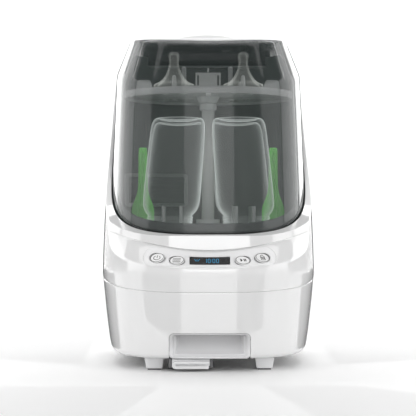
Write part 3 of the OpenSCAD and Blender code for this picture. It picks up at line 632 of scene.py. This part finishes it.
panel_w, panel_l, panel_bend, cut_reach = 148, 26.5, 4, 30
panel_place = shelf_place(270, 0.5)
prism_rim = pill(panel_w + 0.5, panel_l + 0.5, panel_bend)
prism_middle = [(0, 2)] * len(prism_rim)
prism_ends = ((prism_middle, -cut_reach), (prism_rim, -cut_reach), (prism_rim, cut_reach), (prism_middle, cut_reach))
prism_rows = [[tuple(panel_place @ Vector((x, y, h))) for x, y in points] for points, h in prism_ends]
cut_away(upper_casing, rolled("panel_prism", prism_rows))
dressed(upper_casing, white_gloss, "white_body", "base", "upper_shell")

# ---------------- tower cap and hinge deck
# The cap closes the tower behind the hood: a white gloss moulding with an arched top. A thin dark fascia is bonded to
# its flat front face, and the dark deck under the hinge is carried over with its edges eased.
arch_r = 166


def outline_back(x, z):
    a, _, back = casing_halves(z)
    return back * max(0.0, 1 - (abs(x) / a) ** back_power) ** (1 / back_power)


def cap_half(z):
    a, _, back = casing_halves(z)
    return a * (1 - (cap_y / back) ** back_power) ** (1 / back_power)


cap_foot = deck_top + 0.3
cap_rows = []
for w in spread(-90, 90, 65):
    w = math.sin(math.radians(w))
    top = 400.0
    for _ in range(30):
        top = body_h - arch_r + math.sqrt(arch_r**2 - (cap_half(top) * w) ** 2)
    levels = spread(cap_foot, top, 7)
    back = [(max(cap_y, outline_back(cap_half(z) * w, z)), z) for z in levels]
    front = [(cap_y, z) for z in (top, cap_foot)]
    ring = [back[0], *back[1:], front[0], front[1], back[0], back[1]]
    ring = softened(ring, 1.3, 3)[1:-1]
    cap_rows.append([(cap_half(z) * w, y, z) for y, z in ring] + [(cap_half(ring[0][1]) * w, *ring[0])])
tower_cap = rolled("tower_cap_part", cap_rows)
dressed(tower_cap, white_gloss, "white_body", "base", "tower_cap")
deck_grey = gloss_paint("dark_deck_pp", (0.035, 0.036, 0.038), 0.4, bump=0.12, scale=1500, spread_by=0.1)
carried("hinge_deck", 0.0004, deck_grey, "inner_plastic", "base")

fascia_rows = []
for x in spread(-74, 74, 41):
    foot, head = cap_foot + 0.4, min(390, body_h - arch_r + math.sqrt(arch_r**2 - x * x) - 2.5)
    ring = [(cap_y + 0.2, foot), (cap_y - 0.35, foot + 0.2), (cap_y - 0.35, head - 0.2), (cap_y + 0.2, head)]
    fascia_rows.append([(x, y, z) for y, z in ring] + [(x, *ring[0])])
fascia_rows = [[fascia_rows[0][0]] * 5] + fascia_rows + [[fascia_rows[-1][0]] * 5]
dressed(rolled("tower_fascia", fascia_rows), deck_grey, "dark_plastic", "base")

# ---------------- control panel
# A pale gloss inlay bonded into the shelf, standing half a millimetre proud, with openings for four oval keys and
# the display window.


def shelf_skin_r(p, z):
    zr, zl = ridge_height(p), ledge_height(p)
    if z <= zr:
        return casing_r(p, z)
    if z >= zl:
        return band_r(p, z)
    return leaning(z, zr, zl, casing_r(p, zr), ledge_r(p), 1)


def on_skin(place, x, y, lift):
    """The point over x, y of a shelf frame that lies lift above the shelf's surface."""

    def inside(h):
        spot = place @ Vector((x, y, h))
        return math.hypot(spot.x, spot.y) <= shelf_skin_r(math.degrees(math.atan2(spot.y, spot.x)) % 360, spot.z)

    return tuple(place @ Vector((x, y, last_below(-18.0, 14.0, 30, inside) + lift)))


panel_rows = []
for inset, lift in (
    *((inset, -1.8) for inset in (13.2, 6, 0)),
    *((0, 0.05), (0.1, 0.28), (0.4, 0.42)),
    *((inset, 0.46) for inset in (1.2, 3, 6, 9, 13.2)),
):
    panel_rows.append(
        [on_skin(panel_place, x, y, lift) for x, y in pill(panel_w - 2 * inset, panel_l - 2 * inset, panel_bend)]
    )
control_panel = rolled("control_panel", panel_rows)


def oval_ring(place, width, length, height, count=48):
    return [tuple(place @ Vector((*around(t, width / 2, length / 2), height))) for t in spread(0, 360, count + 1)]


button_w, button_l, slide_gap = 17, 13.6, 0.5
key_places = {
    key: shelf_place(p, v)
    for key, p, v in (("power", 245.7, 0.38), ("sterilize", 254.6, 0.37), ("start", 285.4, 0.37), ("dry", 294.3, 0.38))
}
for key, place in key_places.items():
    hole_rows = [
        oval_ring(place, w * (button_w + 2 * slide_gap), w * (button_l + 2 * slide_gap), h)
        for w, h in ((0.001, -6), (1, -6), (1, 6), (0.001, 6))
    ]
    cut_away(control_panel, rolled(key + "_hole", hole_rows))
lens_w, lens_l = 44.8, 13
lens_place = shelf_place(270, 0.435)


def block(name, place, width, length, low, high, corner):
    """A box with rounded corners in a shelf frame."""
    rows = []
    for inset, h in ((0.49 * length, low), (0, low), (0, high - 0.15), (0.15, high), (0.49 * length, high)):
        ring = []
        for cx, cy, start in ((1, -1, -90), (1, 1, 0), (-1, 1, 90), (-1, -1, 180)):
            for across, along in (around(t, corner) for t in spread(start, start + 90, 5)):
                x = cx * (width / 2 - corner) + across
                y = cy * (length / 2 - corner) + along
                k = 1 - 2 * inset / length
                ring.append(tuple(place @ Vector((x - math.copysign(min(inset, abs(x)), x), y * k, h))))
        rows.append(ring + [ring[0]])
    return rolled(name, rows)


cut_away(control_panel, block("lens_hole", lens_place, lens_w + 0.4, lens_l + 0.4, -6, 6, 0.6))
panel_gloss = gloss_paint("panel_gloss", (0.9, 0.9, 0.905), 0.12, coat=0.5, bump=0.008, scale=700, spread_by=0.01)
dressed(control_panel, panel_gloss, "panel_white", "base", "button_panel")

# ---------------- display window
# A gloss black acrylic window set flush in the panel; its blue figures shine through from the module behind.
display_window = block("display_window", lens_place, lens_w, lens_l, -1.4, 0.6, 0.5)
display_black = gloss_paint("window_black", (0.006, 0.006, 0.007), 0.25, coat=0.0, bump=0.004, scale=500, spread_by=0.2)
dressed(display_window, display_black, "display_black", "base", "display_lens")


def printed(name, place, strokes, thickness, base, top):
    """Flat strokes of one width, each along its own line of points, joined into one mesh."""
    pieces = []
    for line in strokes:
        rows = []
        for i, (x, y) in enumerate(line):
            ahead = Vector(line[min(i + 1, len(line) - 1)]) - Vector(line[max(i - 1, 0)])
            side = Vector((-ahead.y, ahead.x)).normalized() * thickness / 2
            corners = ((side, base), (-side, base), (-side, top), (side, top))
            spots = [tuple(place @ Vector((x + across.x, y + across.y, z))) for across, z in corners]
            rows.append(spots + [spots[0]])
        middle = [tuple(place @ Vector((*line[k], (base + top) / 2))) for k in (0, -1)]
        pieces.append(rolled(name, [[middle[0]] * 5] + rows + [[middle[1]] * 5]))
    bpy.ops.object.select_all(action="DESELECT")
    for stroke in pieces:
        stroke.select_set(True)
    bpy.context.view_layer.objects.active = pieces[0]
    if len(pieces) > 1:
        bpy.ops.object.join()
    pieces[0].name = name
    return pieces[0]


def loop_line(cx, cy, rx, ry, start, stop, count=16):
    return [(cx + x, cy + y) for x, y in (around(t, rx, ry) for t in spread(start, stop, count))]


def zero(cx, half=1.2, tall=3.2):
    corner = 0.8
    line = []
    for sx, sy, start in ((1, -1, -90), (1, 1, 0), (-1, 1, 90), (-1, -1, 180)):
        line += loop_line(cx + sx * (half - corner), sy * (tall - corner), corner, corner, start, start + 90, 4)
    return line + [line[0]]


figure_strokes = [[(-3.7, -3.2), (-3.7, 3.2)], zero(-0.7), zero(4.5), zero(8.6)]
figure_strokes += [[(1.9, y - 0.3), (1.9, y + 0.3)] for y in (-1.4, 1.4)]
figure_strokes += [[(-16.9, 3.0), (-15.3, -0.4)], [(-14.3, 2.6), (-14.1, -0.6)], [(-11.3, 3.2), (-13.2, -0.6)]]
figures = printed("display_figures", lens_place, figure_strokes, 0.5, 0.55, 0.66)
glow, glow_shader = new_paint(
    "blue_glow",
    {
        "Base Color": (0.01, 0.08, 0.14, 1),
        "Emission Color": (0.01, 0.24, 0.46, 1),
        "Emission Strength": 1.0,
    },
)
glow_cells = {"Scale": 1200, "Vector": made(glow_shader, "TexCoord", "Object")}
glow_range = {"To Min": 0.25, "To Max": 0.4, "Value": made(glow_shader, "TexNoise", "Fac", glow_cells)}
feed(glow_shader, {"Roughness": made(glow_shader, "MapRange", "Result", glow_range)})
dressed(figures, glow, "display_black", "base")

# ---------------- keys
# Four oval keys moulded in gloss white, each with a printed ring and sign, and a thin grey ring in the gap round it
# that stands in for the gap's shade as painted shade. Each key's stem presses a switch on the board behind.
ink = gloss_paint("grey_ink", (0.03, 0.027, 0.027), 0.5, bump=0.02, scale=1500, spread_by=0.1)
key_gap_shade = gloss_paint("grey_key_gap_shade", (0.3, 0.3, 0.3), 0.6, bump=0.05, scale=1500, spread_by=0.05)
key_gloss = gloss_paint("key_gloss", (0.92, 0.92, 0.92), 0.14, coat=0.4, bump=0.008, scale=800, spread_by=0.01)
signs = {
    "power": [loop_line(0, -0.3, 3.9, 2.9, 125, 415, 28), [(0, -0.2), (0, 3.2)]],
    "sterilize": [
        [(-4.6, 2.3), (3.2, 2.3), (4.2, 3.0)],
        [(-4.9, 0.4), (4.4, 0.4)],
        [(-4.6, -1.5), (3.4, -1.5), (4.6, -2.1)],
        [(-4.2, -3.1), (4.0, -3.1)],
    ],
    "start": [
        [(-2.6 + k * 0.3, (2.0 - k * 0.3) * 0.98) for k in (0, 6.6)],
        *[[(x, y), (x, -y)] for x, y in ((-2.6, 1.9), (-2.1, 1.5), (-1.6, 1.1), (-1.1, 0.75))],
        [(-2.6, -1.96), (-0.62, 0.0)],
        *[[(x, 1.9), (x, -1.9)] for x in (1.3, 1.75, 3.0, 3.45)],
    ],
    "dry": [
        [(-1.1, 3.6), (1.1, 3.6), (1.3, 2.4), (2.4, 1.4), (2.4, -3.6), (-2.4, -3.6), (-2.4, 1.4), (-1.3, 2.4)]
        + [(-1.1, 3.6)],
        *[[(x + 0.35 * math.sin(t), -2.6 + t * 0.6) for t in spread(0, 6.2, 9)] for x in (-1.3, 0.0, 1.3)],
    ],
}
for key, place in key_places.items():
    cap_rows = [
        oval_ring(place, s * button_w, s * button_l, h)
        for s, h in (
            (0.001, -2.2), (0.9, -2.2), (1, -2.0), (1, 0.9), (0.994, 1.1), (0.98, 1.24), (0.955, 1.31), (0.9, 1.33),
            (0.7, 1.33), (0.45, 1.33), (0.2, 1.33), (0.001, 1.33),
        )
    ]
    cap = rolled(key + "_key_cap", cap_rows)
    dressed(cap, key_gloss, "button_white", key + "_key", "button_" + key)
    # Painted shade: a grey ring fills the gap round the key where there would be only the gap's shade.
    gap_shade_rows = [
        oval_ring(place, button_w + 2 * g, button_l + 2 * g, h)
        for g, h in ((0.1, -0.9), (0.1, 0.2), (0.46, 0.2), (0.46, -0.9), (0.1, -0.9))
    ]
    dressed(rolled(key + "_key_gap_shade", gap_shade_rows), key_gap_shade, "dark_plastic", "base")
    print_lines = [loop_line(0, 0, button_w * 0.46, button_l * 0.455, 0, 360, 49)]
    dressed(printed(key + "_key_ring", place, print_lines, 0.5, 1.3, 1.42), ink, "dark_plastic", key + "_key")
    dressed(printed(key + "_key_sign", place, signs[key], 0.62, 1.26, 1.43), ink, "dark_plastic", key + "_key")

# ---------------- chamber
# The steam chamber's lining: a grey satin PP tub whose wall follows the hood's outline and climbs the tower behind,
# with a polished heating plate sealed into its floor and a soft black seal round its rim.
hood_wall, tub_floor_z, tub_wall = 3, rim_z - 31, 2.2
ceiling_z, ceiling_under = 361, 358


def tub_r(p, z):
    return hood_r(p, z, -4)


tub_columns = []
for p in rim_angles:
    top = parting_at(p, tub_r, 9.5)
    if tub_r(p, min(top, ceiling_z)) * math.sin(math.radians(p)) > ceiling_y:
        top = ceiling_z
    heights = [tub_floor_z + 1.5] + spread(tub_floor_z + 4, top - 0.6, 36)
    foot_r = tub_r(p, 122)
    outer = [(30, tub_floor_z), (60, tub_floor_z), (foot_r - 1.5, tub_floor_z)] + [(tub_r(p, z), z) for z in heights]
    inner = [(tub_r(p, top) - 0.5, top), (tub_r(p, top) - tub_wall + 0.5, top)]
    inner += [(tub_r(p, z) - tub_wall, z) for z in reversed(spread(tub_floor_z + 9, top - 0.6, 34))]
    inner += [(foot_r - tub_wall - k, tub_floor_z + up) for k, up in ((0.6, 6), (2.2, 4), (5.5, 3))]
    inner += [(60, tub_floor_z + 3), (30, tub_floor_z + 3)]
    tub_columns.append((p, [(0.001, tub_floor_z)] + outer + inner + [(0.001, tub_floor_z + 3)]))
tub = columns_to_rows("chamber_tub_lining", tub_columns)
ceiling_rows = []
for x in spread(-92, 92, 33):
    line = []
    for z in (ceiling_under, ceiling_z):
        a, front, back = hood_halves(z)
        shape = (back - 4.3) * max(0.0, 1 - (abs(x) / (a - 4.3)) ** back_power) ** (1 / back_power)
        line.append((max(ceiling_y, shape), z))
    ring = [*line, (ceiling_y, ceiling_z), (ceiling_y, ceiling_under), *line]
    ring = softened(ring, 0.4, 2)[1:-1]
    ceiling_rows.append([(x, y, z) for y, z in ring] + [(x, *ring[0])])
ceiling = rolled("chamber_ceiling", ceiling_rows)
tub_satin = gloss_paint("grey_tub_satin", (0.2, 0.22, 0.216), 0.32, bump=0.1, scale=1100, spread_by=0.05)
dressed(tub, tub_satin, "tub_lining", "base", "chamber_tub")
dressed(ceiling, tub_satin, "tub_lining", "base")


def groove_r(p, z):
    return hood_r(p, z, groove_gap - 0.3)


seal_columns = []
for p in rim_angles:
    high = min(parting_at(p, groove_r, -1.1), ceiling_z + 0.7)
    low = min(parting_at(p, groove_r, -5.6), ceiling_z - 0.7)
    line = [(hood_r(p, low, -3.7), low), (groove_r(p, low), low), (groove_r(p, high), high - 0.5)]
    line += [(groove_r(p, high) - 0.5, high), (hood_r(p, high, -1.5), high - 0.2)]
    line += [(hood_r(p, high, -2.6), high + 0.15), (hood_r(p, high, -3.4), high), (hood_r(p, high, -3.7), high - 0.5)]
    seal_columns.append((p, line + [line[0]]))
seal_rubber = gloss_paint("black_silicone", (0.012, 0.015, 0.015), 0.42, bump=0.15, scale=1500, spread_by=0.15)
dressed(columns_to_rows("rim_seal_ring", seal_columns), seal_rubber, "seal_rubber", "base", "rim_seal")

# ---------------- heater and warm-air outlet
# The heating plate is polished steel over a cast element; the outlet on the rear left wall is a pale frame with a
# louvred grille. Both come from the frame with their edges eased, as does the mains inlet; the parts hidden in the
# base are only given their paints.


def metal_paint(name, colour, roughness, stretch, depth=0.1):
    """Metal with fine marks from how it was finished; stretch draws them out along one way."""
    paint, shader = new_paint(name, {"Metallic": 1})
    place = made(shader, "TexCoord", "Object")
    drawn = made(shader, "Mapping", "Vector", {"Scale": stretch, "Vector": place})
    marks = made(shader, "TexNoise", "Fac", {"Scale": 60, "Detail": 6, "Vector": drawn})
    tones = {"A": (*[c * 0.8 for c in colour], 1), "B": (*colour, 1), "Factor": marks}
    tone = made(shader, "Mix", "Result", tones, data_type="RGBA")
    limits = {"To Min": roughness * 0.7, "To Max": min(1, roughness * 1.4)}
    rough = made(shader, "MapRange", "Result", limits | {"Value": marks})
    relief = made(shader, "Bump", "Normal", {"Strength": depth, "Distance": 0.0002, "Height": marks})
    feed(shader, {"Base Color": tone, "Roughness": rough, "Normal": relief})
    return paint


plate_steel = metal_paint("polished_plate", (0.66, 0.66, 0.65), 0.22, (1, 1, 12))
zinc = metal_paint("zinc_plate", (0.55, 0.56, 0.58), 0.35, (3, 3, 3), 0.2)
cast_metal = metal_paint("cast_element", (0.42, 0.42, 0.42), 0.6, (6, 6, 6), 0.7)
dark_pp = gloss_paint("dark_grey_pp", (0.035, 0.036, 0.038), 0.45, bump=0.15, scale=1500, spread_by=0.1)
solder_mask = gloss_paint("green_solder_mask", (0.012, 0.09, 0.035), 0.3, coat=0.3, bump=0.1, scale=900, spread_by=0.25)
gasket_red = gloss_paint("red_silicone", (0.42, 0.1, 0.03), 0.5, bump=0.12, scale=1500, spread_by=0.1)
outlet_grey = gloss_paint("pale_grey_pp", (0.55, 0.57, 0.565), 0.36, bump=0.08, scale=1300, spread_by=0.03)
carried("heating_plate", 0.0005, plate_steel, "steel", "base")
carried("vent_frame", 0.0007, outlet_grey, "inner_plastic", "base")
carried("vent_grille", 0.0004, tub_satin, "inner_plastic", "base")
carried("power_inlet", 0.0005, dark_pp, "dark_plastic", "base")
for node, paint in {
    "plate_seal": gasket_red, "heating_element": cast_metal, "thermostat": dark_pp, "blower_housing": dark_pp,
    "blower_motor": zinc, "impeller": dark_pp, "air_heater": cast_metal, "air_duct": dark_pp,
    "power_board": solder_mask, "control_board": solder_mask, "button_switches": dark_pp,
    "display_module": dark_pp, "base_screws": zinc, "lid_switch": dark_pp,
}.items():
    nodes[node].data.materials.clear()
    nodes[node].data.materials.append(paint)

# ---------------- bottle rack and upper shelf
# Grey satin PP mouldings that lift out for loading: the rack with its stand and four bottle rests, the pale post that
# carries the shelf, and the slotted shelf with its pegs and a grip on top.
rack_pp = gloss_paint("grey_rack_pp", (0.55, 0.575, 0.57), 0.3, bump=0.08, scale=1200, spread_by=0.04)
post_pp = gloss_paint("pale_post_pp", (0.56, 0.58, 0.57), 0.26, bump=0.06, scale=1200, spread_by=0.03)
carried("lower_rack", 0.0004, rack_pp, "rack_plastic", "rack")
carried("rack_stand", 0.0004, rack_pp, "rack_plastic", "rack")
carried("centre_post", 0.0004, post_pp, "post_plastic", "rack")
carried("post_collar", 0.0006, rack_pp, "rack_plastic", "rack")
carried("upper_shelf", 0.0005, rack_pp, "rack_plastic", "shelf")
carried("shelf_grip", 0.0006, post_pp, "post_plastic", "shelf")

# ---------------- hinge
# Two moulded knuckles on the hood's back turn on steel pins held in brackets that stand on the deck.
carried("hinge_brackets", 0.0005, dark_pp, "dark_plastic", "base")
carried("hinge_pins", 0.0003, plate_steel, "steel", "base")
carried("hood_knuckles", 0.0005, dark_pp, "dark_plastic", "hood")

# ---------------- hood
# One deep moulding of smoked clear polycarbonate, 3 mm thick, with a creased and gently domed top, a flat back wall
# at the hinge, and a soft black lip pressed into its lower edge.
side_end, corner_column, arch_z, hood_gap = 26, 42, 355, 0.8


def hood_corner(z):
    """Angle at which the side meets the flat back wall."""
    return last_below(20.0, 90.0, 30, lambda p: hood_r(p, z) * math.sin(math.radians(p)) < hood_back)


def hood_angle(nominal, z):
    """Keeps one column on the back corner at every height."""
    mirrored = nominal > 90
    p = 180 - nominal if mirrored else nominal
    if p > side_end:
        corner = min(88.0, hood_corner(z))
        if p < corner_column:
            p = leaning(p, side_end, corner_column, side_end, corner, 1)
        else:
            p = leaning(p, corner_column, 90, corner, 90, 1)
    return 180 - p if mirrored else p


def edge_angle(nominal):
    return hood_angle(nominal, arch_z) if side_end <= nominal <= 180 - side_end else nominal


def hood_wall_r(p, z):
    s = math.sin(math.radians(p))
    return min(hood_r(p, z), hood_back / s) if s > 0.01 else hood_r(p, z)


hood_angles = wrapped_angles([(-36, 34), (0, 24), (8, 16), (side_end, 26), (corner_column, 12), (60, 12), (90, 18)])
hood_columns, crease_keep = [], 0.6
for nominal in hood_angles:
    edge = parting_at(edge_angle(nominal), hood_wall_r, -hood_gap)
    crease = crease_z - 25 * dip(nominal)
    top = hood_top_z - 7 * dip(nominal)
    line = []
    for z in spread(edge, max(crease, edge + 1), 30)[:-1]:
        p = hood_angle(nominal, z)
        line.append((p, hood_wall_r(p, z), z))
    lean_from = max(crease, edge + 1)
    lean_to = max(top, lean_from + 1)
    for z in spread(lean_from, lean_to, 14):
        p = hood_angle(nominal, min(z, hood_top_z))
        line.append((p, hood_wall_r(p, min(z, hood_top_z)), z))
    rim_r = line[-1][1]
    for s in (0.985, 0.96, 0.92, 0.85, 0.75, 0.62, 0.48, 0.34, 0.2, 0.08):
        line.append((line[-1][0], rim_r * s, lean_to + (hood_top_z + 3 - lean_to) * (1 - s * s)))
    line.append((line[-1][0], 0.0, hood_top_z + 3))
    # the crease and the top edge are eased by averaging along the column
    for j in range(24, 46):
        beside = zip(line[j - 1][1:], line[j][1:], line[j + 1][1:])
        line[j] = (line[j][0], *(crease_keep * b + (1 - crease_keep) * (a + c) / 2 for a, b, c in beside))
    hood_columns.append(line)
hood_shell = rolled("hood_shell", [[(*around(p, r), z) for p, r, z in row] for row in zip(*hood_columns)])
worked(hood_shell, "SOLIDIFY", thickness=hood_wall / 1000, offset=-1, use_even_offset=True)
worked(hood_shell, "BEVEL", width=0.0006, segments=2, limit_method="ANGLE", angle_limit=math.radians(55))
bpy.ops.object.shade_smooth_by_angle(angle=smooth_angle)

smoke, smoke_shader = new_paint(
    "smoked_polycarbonate",
    {"Base Color": (0.03, 0.042, 0.04, 1), "IOR": 1.58, "Coat Weight": 0.8, "Coat Roughness": 0.02},
)
smoke_cloud = {"Scale": 9, "Vector": made(smoke_shader, "TexCoord", "Object")}
smoke_rough = {"To Min": 0.03, "To Max": 0.07, "Value": made(smoke_shader, "TexNoise", "Fac", smoke_cloud)}
smoke_depth = {"To Min": 0.15, "To Max": 1.0, "Value": made(smoke_shader, "LayerWeight", "Facing", {"Blend": 0.38})}
for socket, limits in {"Roughness": smoke_rough, "Alpha": smoke_depth}.items():
    feed(smoke_shader, {socket: made(smoke_shader, "MapRange", "Result", limits)})
dressed(hood_shell, smoke, "smoked_hood", "hood", "hood")

lip_columns = []
for nominal in hood_angles:
    p = edge_angle(nominal)
    edge = parting_at(p, hood_wall_r, -hood_gap)
    r = hood_wall_r(p, edge)
    outside, inside = r - 0.15, r - hood_wall - 0.25
    line = [(outside, edge + 0.2), (outside, edge + 2.0), (inside, edge + 2.2), (inside, edge + 0.1)]
    lip_columns.append((p, line + [line[0]]))
dressed(columns_to_rows("hood_lip", lip_columns), seal_rubber, "seal_rubber", "hood")

# ---------------- load
# What is being sterilized isn't part of the machine: four clear bottles upside down on their rests, two silicone
# teats on the shelf's front pegs, and two green vent tubes at the rack's sides.


def turned(name, x, y, profile, count=56):
    """A round piece from its profile of (radius, height) points, standing at x, y."""
    turns = spread(0, 360, count + 1)
    rows = [[(x + across, y + deep, z) for across, deep in (around(t, r) for t in turns)] for r, z in profile]
    return rolled(name, rows)


def clear_paint(name, colour, seen_flat, seen_edge, sharpness, roughness, tint_by=0.03, painted_glow=0.0):
    """A clear plastic that looks denser where the eye meets it edge on, and glows faintly in its own colour: painted
    light.
    """
    paint = gloss_paint(name, colour, roughness, bump=0.0, scale=600, spread_by=tint_by)
    shader = paint.node_tree.nodes["Principled BSDF"]
    face = made(shader, "LayerWeight", "Facing", {"Blend": 0.5})
    edge_only = made(shader, "Math", "Value", {0: face, 1: sharpness}, operation="POWER")
    depth = made(shader, "MapRange", "Result", {"To Min": seen_flat, "To Max": seen_edge, "Value": edge_only})
    feed(shader, {"Emission Color": (*colour, 1), "Emission Strength": painted_glow, "Alpha": depth})
    return paint


# Painted light: the bottles glow faintly in their own colour, so that their edges read behind the smoked hood.
bottle_clear = clear_paint("bottle_clear", (0.76, 0.82, 0.8), 0.03, 1.0, 3.8, 0.04, painted_glow=0.5)
bottle_outside = [(25.3, 158.6), (26.2, 159.2), (26.4, 161)]
for turn in range(3):
    bottle_outside += [(r, z + 3.4 * turn) for r, z in ((25.6, 162), (27.2, 163.2), (27.2, 164), (25.6, 165.2))]
bottle_outside += [(25.9, 173.5), (28.0, 175.4), (31.0, 179.4), (32.8, 185), (33.4, 193), (33.4, 206), (33.1, 222)]
bottle_outside += [(32.7, 242), (32.2, 262), (31.8, 273), (31.0, 280.0), (29.4, 284.2), (27.0, 286.4), (24.2, 287.0)]
bottle_outside += [(22.4, 286.2), (21.0, 284.8), (14, 283.6), (7, 283.0), (0.001, 282.8)]
for i, (x, y) in enumerate(((-42.5, -42.5), (42.5, -42.5), (-42.5, 42.5), (42.5, 42.5))):
    bottle = turned(f"bottle_{i}", x, y, bottle_outside)
    for vertex in bottle.data.vertices:
        vertex.co.x -= math.copysign(0.09, x) * (vertex.co.z - 0.2)
    bottle.data.materials.append(bottle_clear)
    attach(bottle, "rack")

# Painted light: the teats glow faintly in their own colour.
teat_clear = clear_paint("teat_silicone", (0.84, 0.87, 0.82), 0.03, 1.0, 5.0, 0.08, painted_glow=0.6)
teat_profile = [(19, 321.7), (22.4, 321.9), (23.3, 323), (23.3, 325.2), (22.2, 326.4), (19.4, 327.2), (16.4, 329)]
teat_profile += [(13.0, 332), (9.8, 336.6), (7.4, 341.6), (5.9, 346.6), (5.1, 350.6), (5.1, 353.6), (5.8, 356.8)]
teat_profile += [(6.1, 359.2), (5.2, 361.8), (3.2, 363.2), (0.001, 363.6), (0.001, 361.9), (2.7, 361.5), (4.2, 360)]
teat_profile += [(4.5, 357.2), (3.9, 353.8), (3.9, 350.4), (4.7, 346.2), (6.2, 341), (8.5, 335.6), (11.6, 331)]
teat_profile += [(15.2, 327.4), (18.8, 325.2), (19, 321.7)]
for i, side in enumerate((-1, 1)):
    teat = turned(f"teat_{i}", side * 40.4, -46, teat_profile)
    teat.data.materials.append(teat_clear)
    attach(teat, "shelf")

# Painted light: the vent tubes glow faintly in their own colour.
vent_green = clear_paint("vent_tube_green", (0.34, 0.95, 0.26), 0.4, 0.95, 1.6, 0.15, 0.08, painted_glow=0.16)
tube_profile = [(10.8, 158.4), (12.6, 160), (13.4, 166), (13.6, 178), (12.4, 185), (9.2, 193), (6.8, 200), (5.7, 208)]
tube_profile += [(5.4, 226), (5.2, 250), (4.6, 253), (3.5, 254), (3.0, 252.6), (3.4, 248)]
for i, (x, y) in enumerate(((-78, -4), (78, -4))):
    tube = turned(f"vent_tube_{i}", x, y, tube_profile, 40)
    tube.data.materials.append(vent_green)
    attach(tube, "rack")
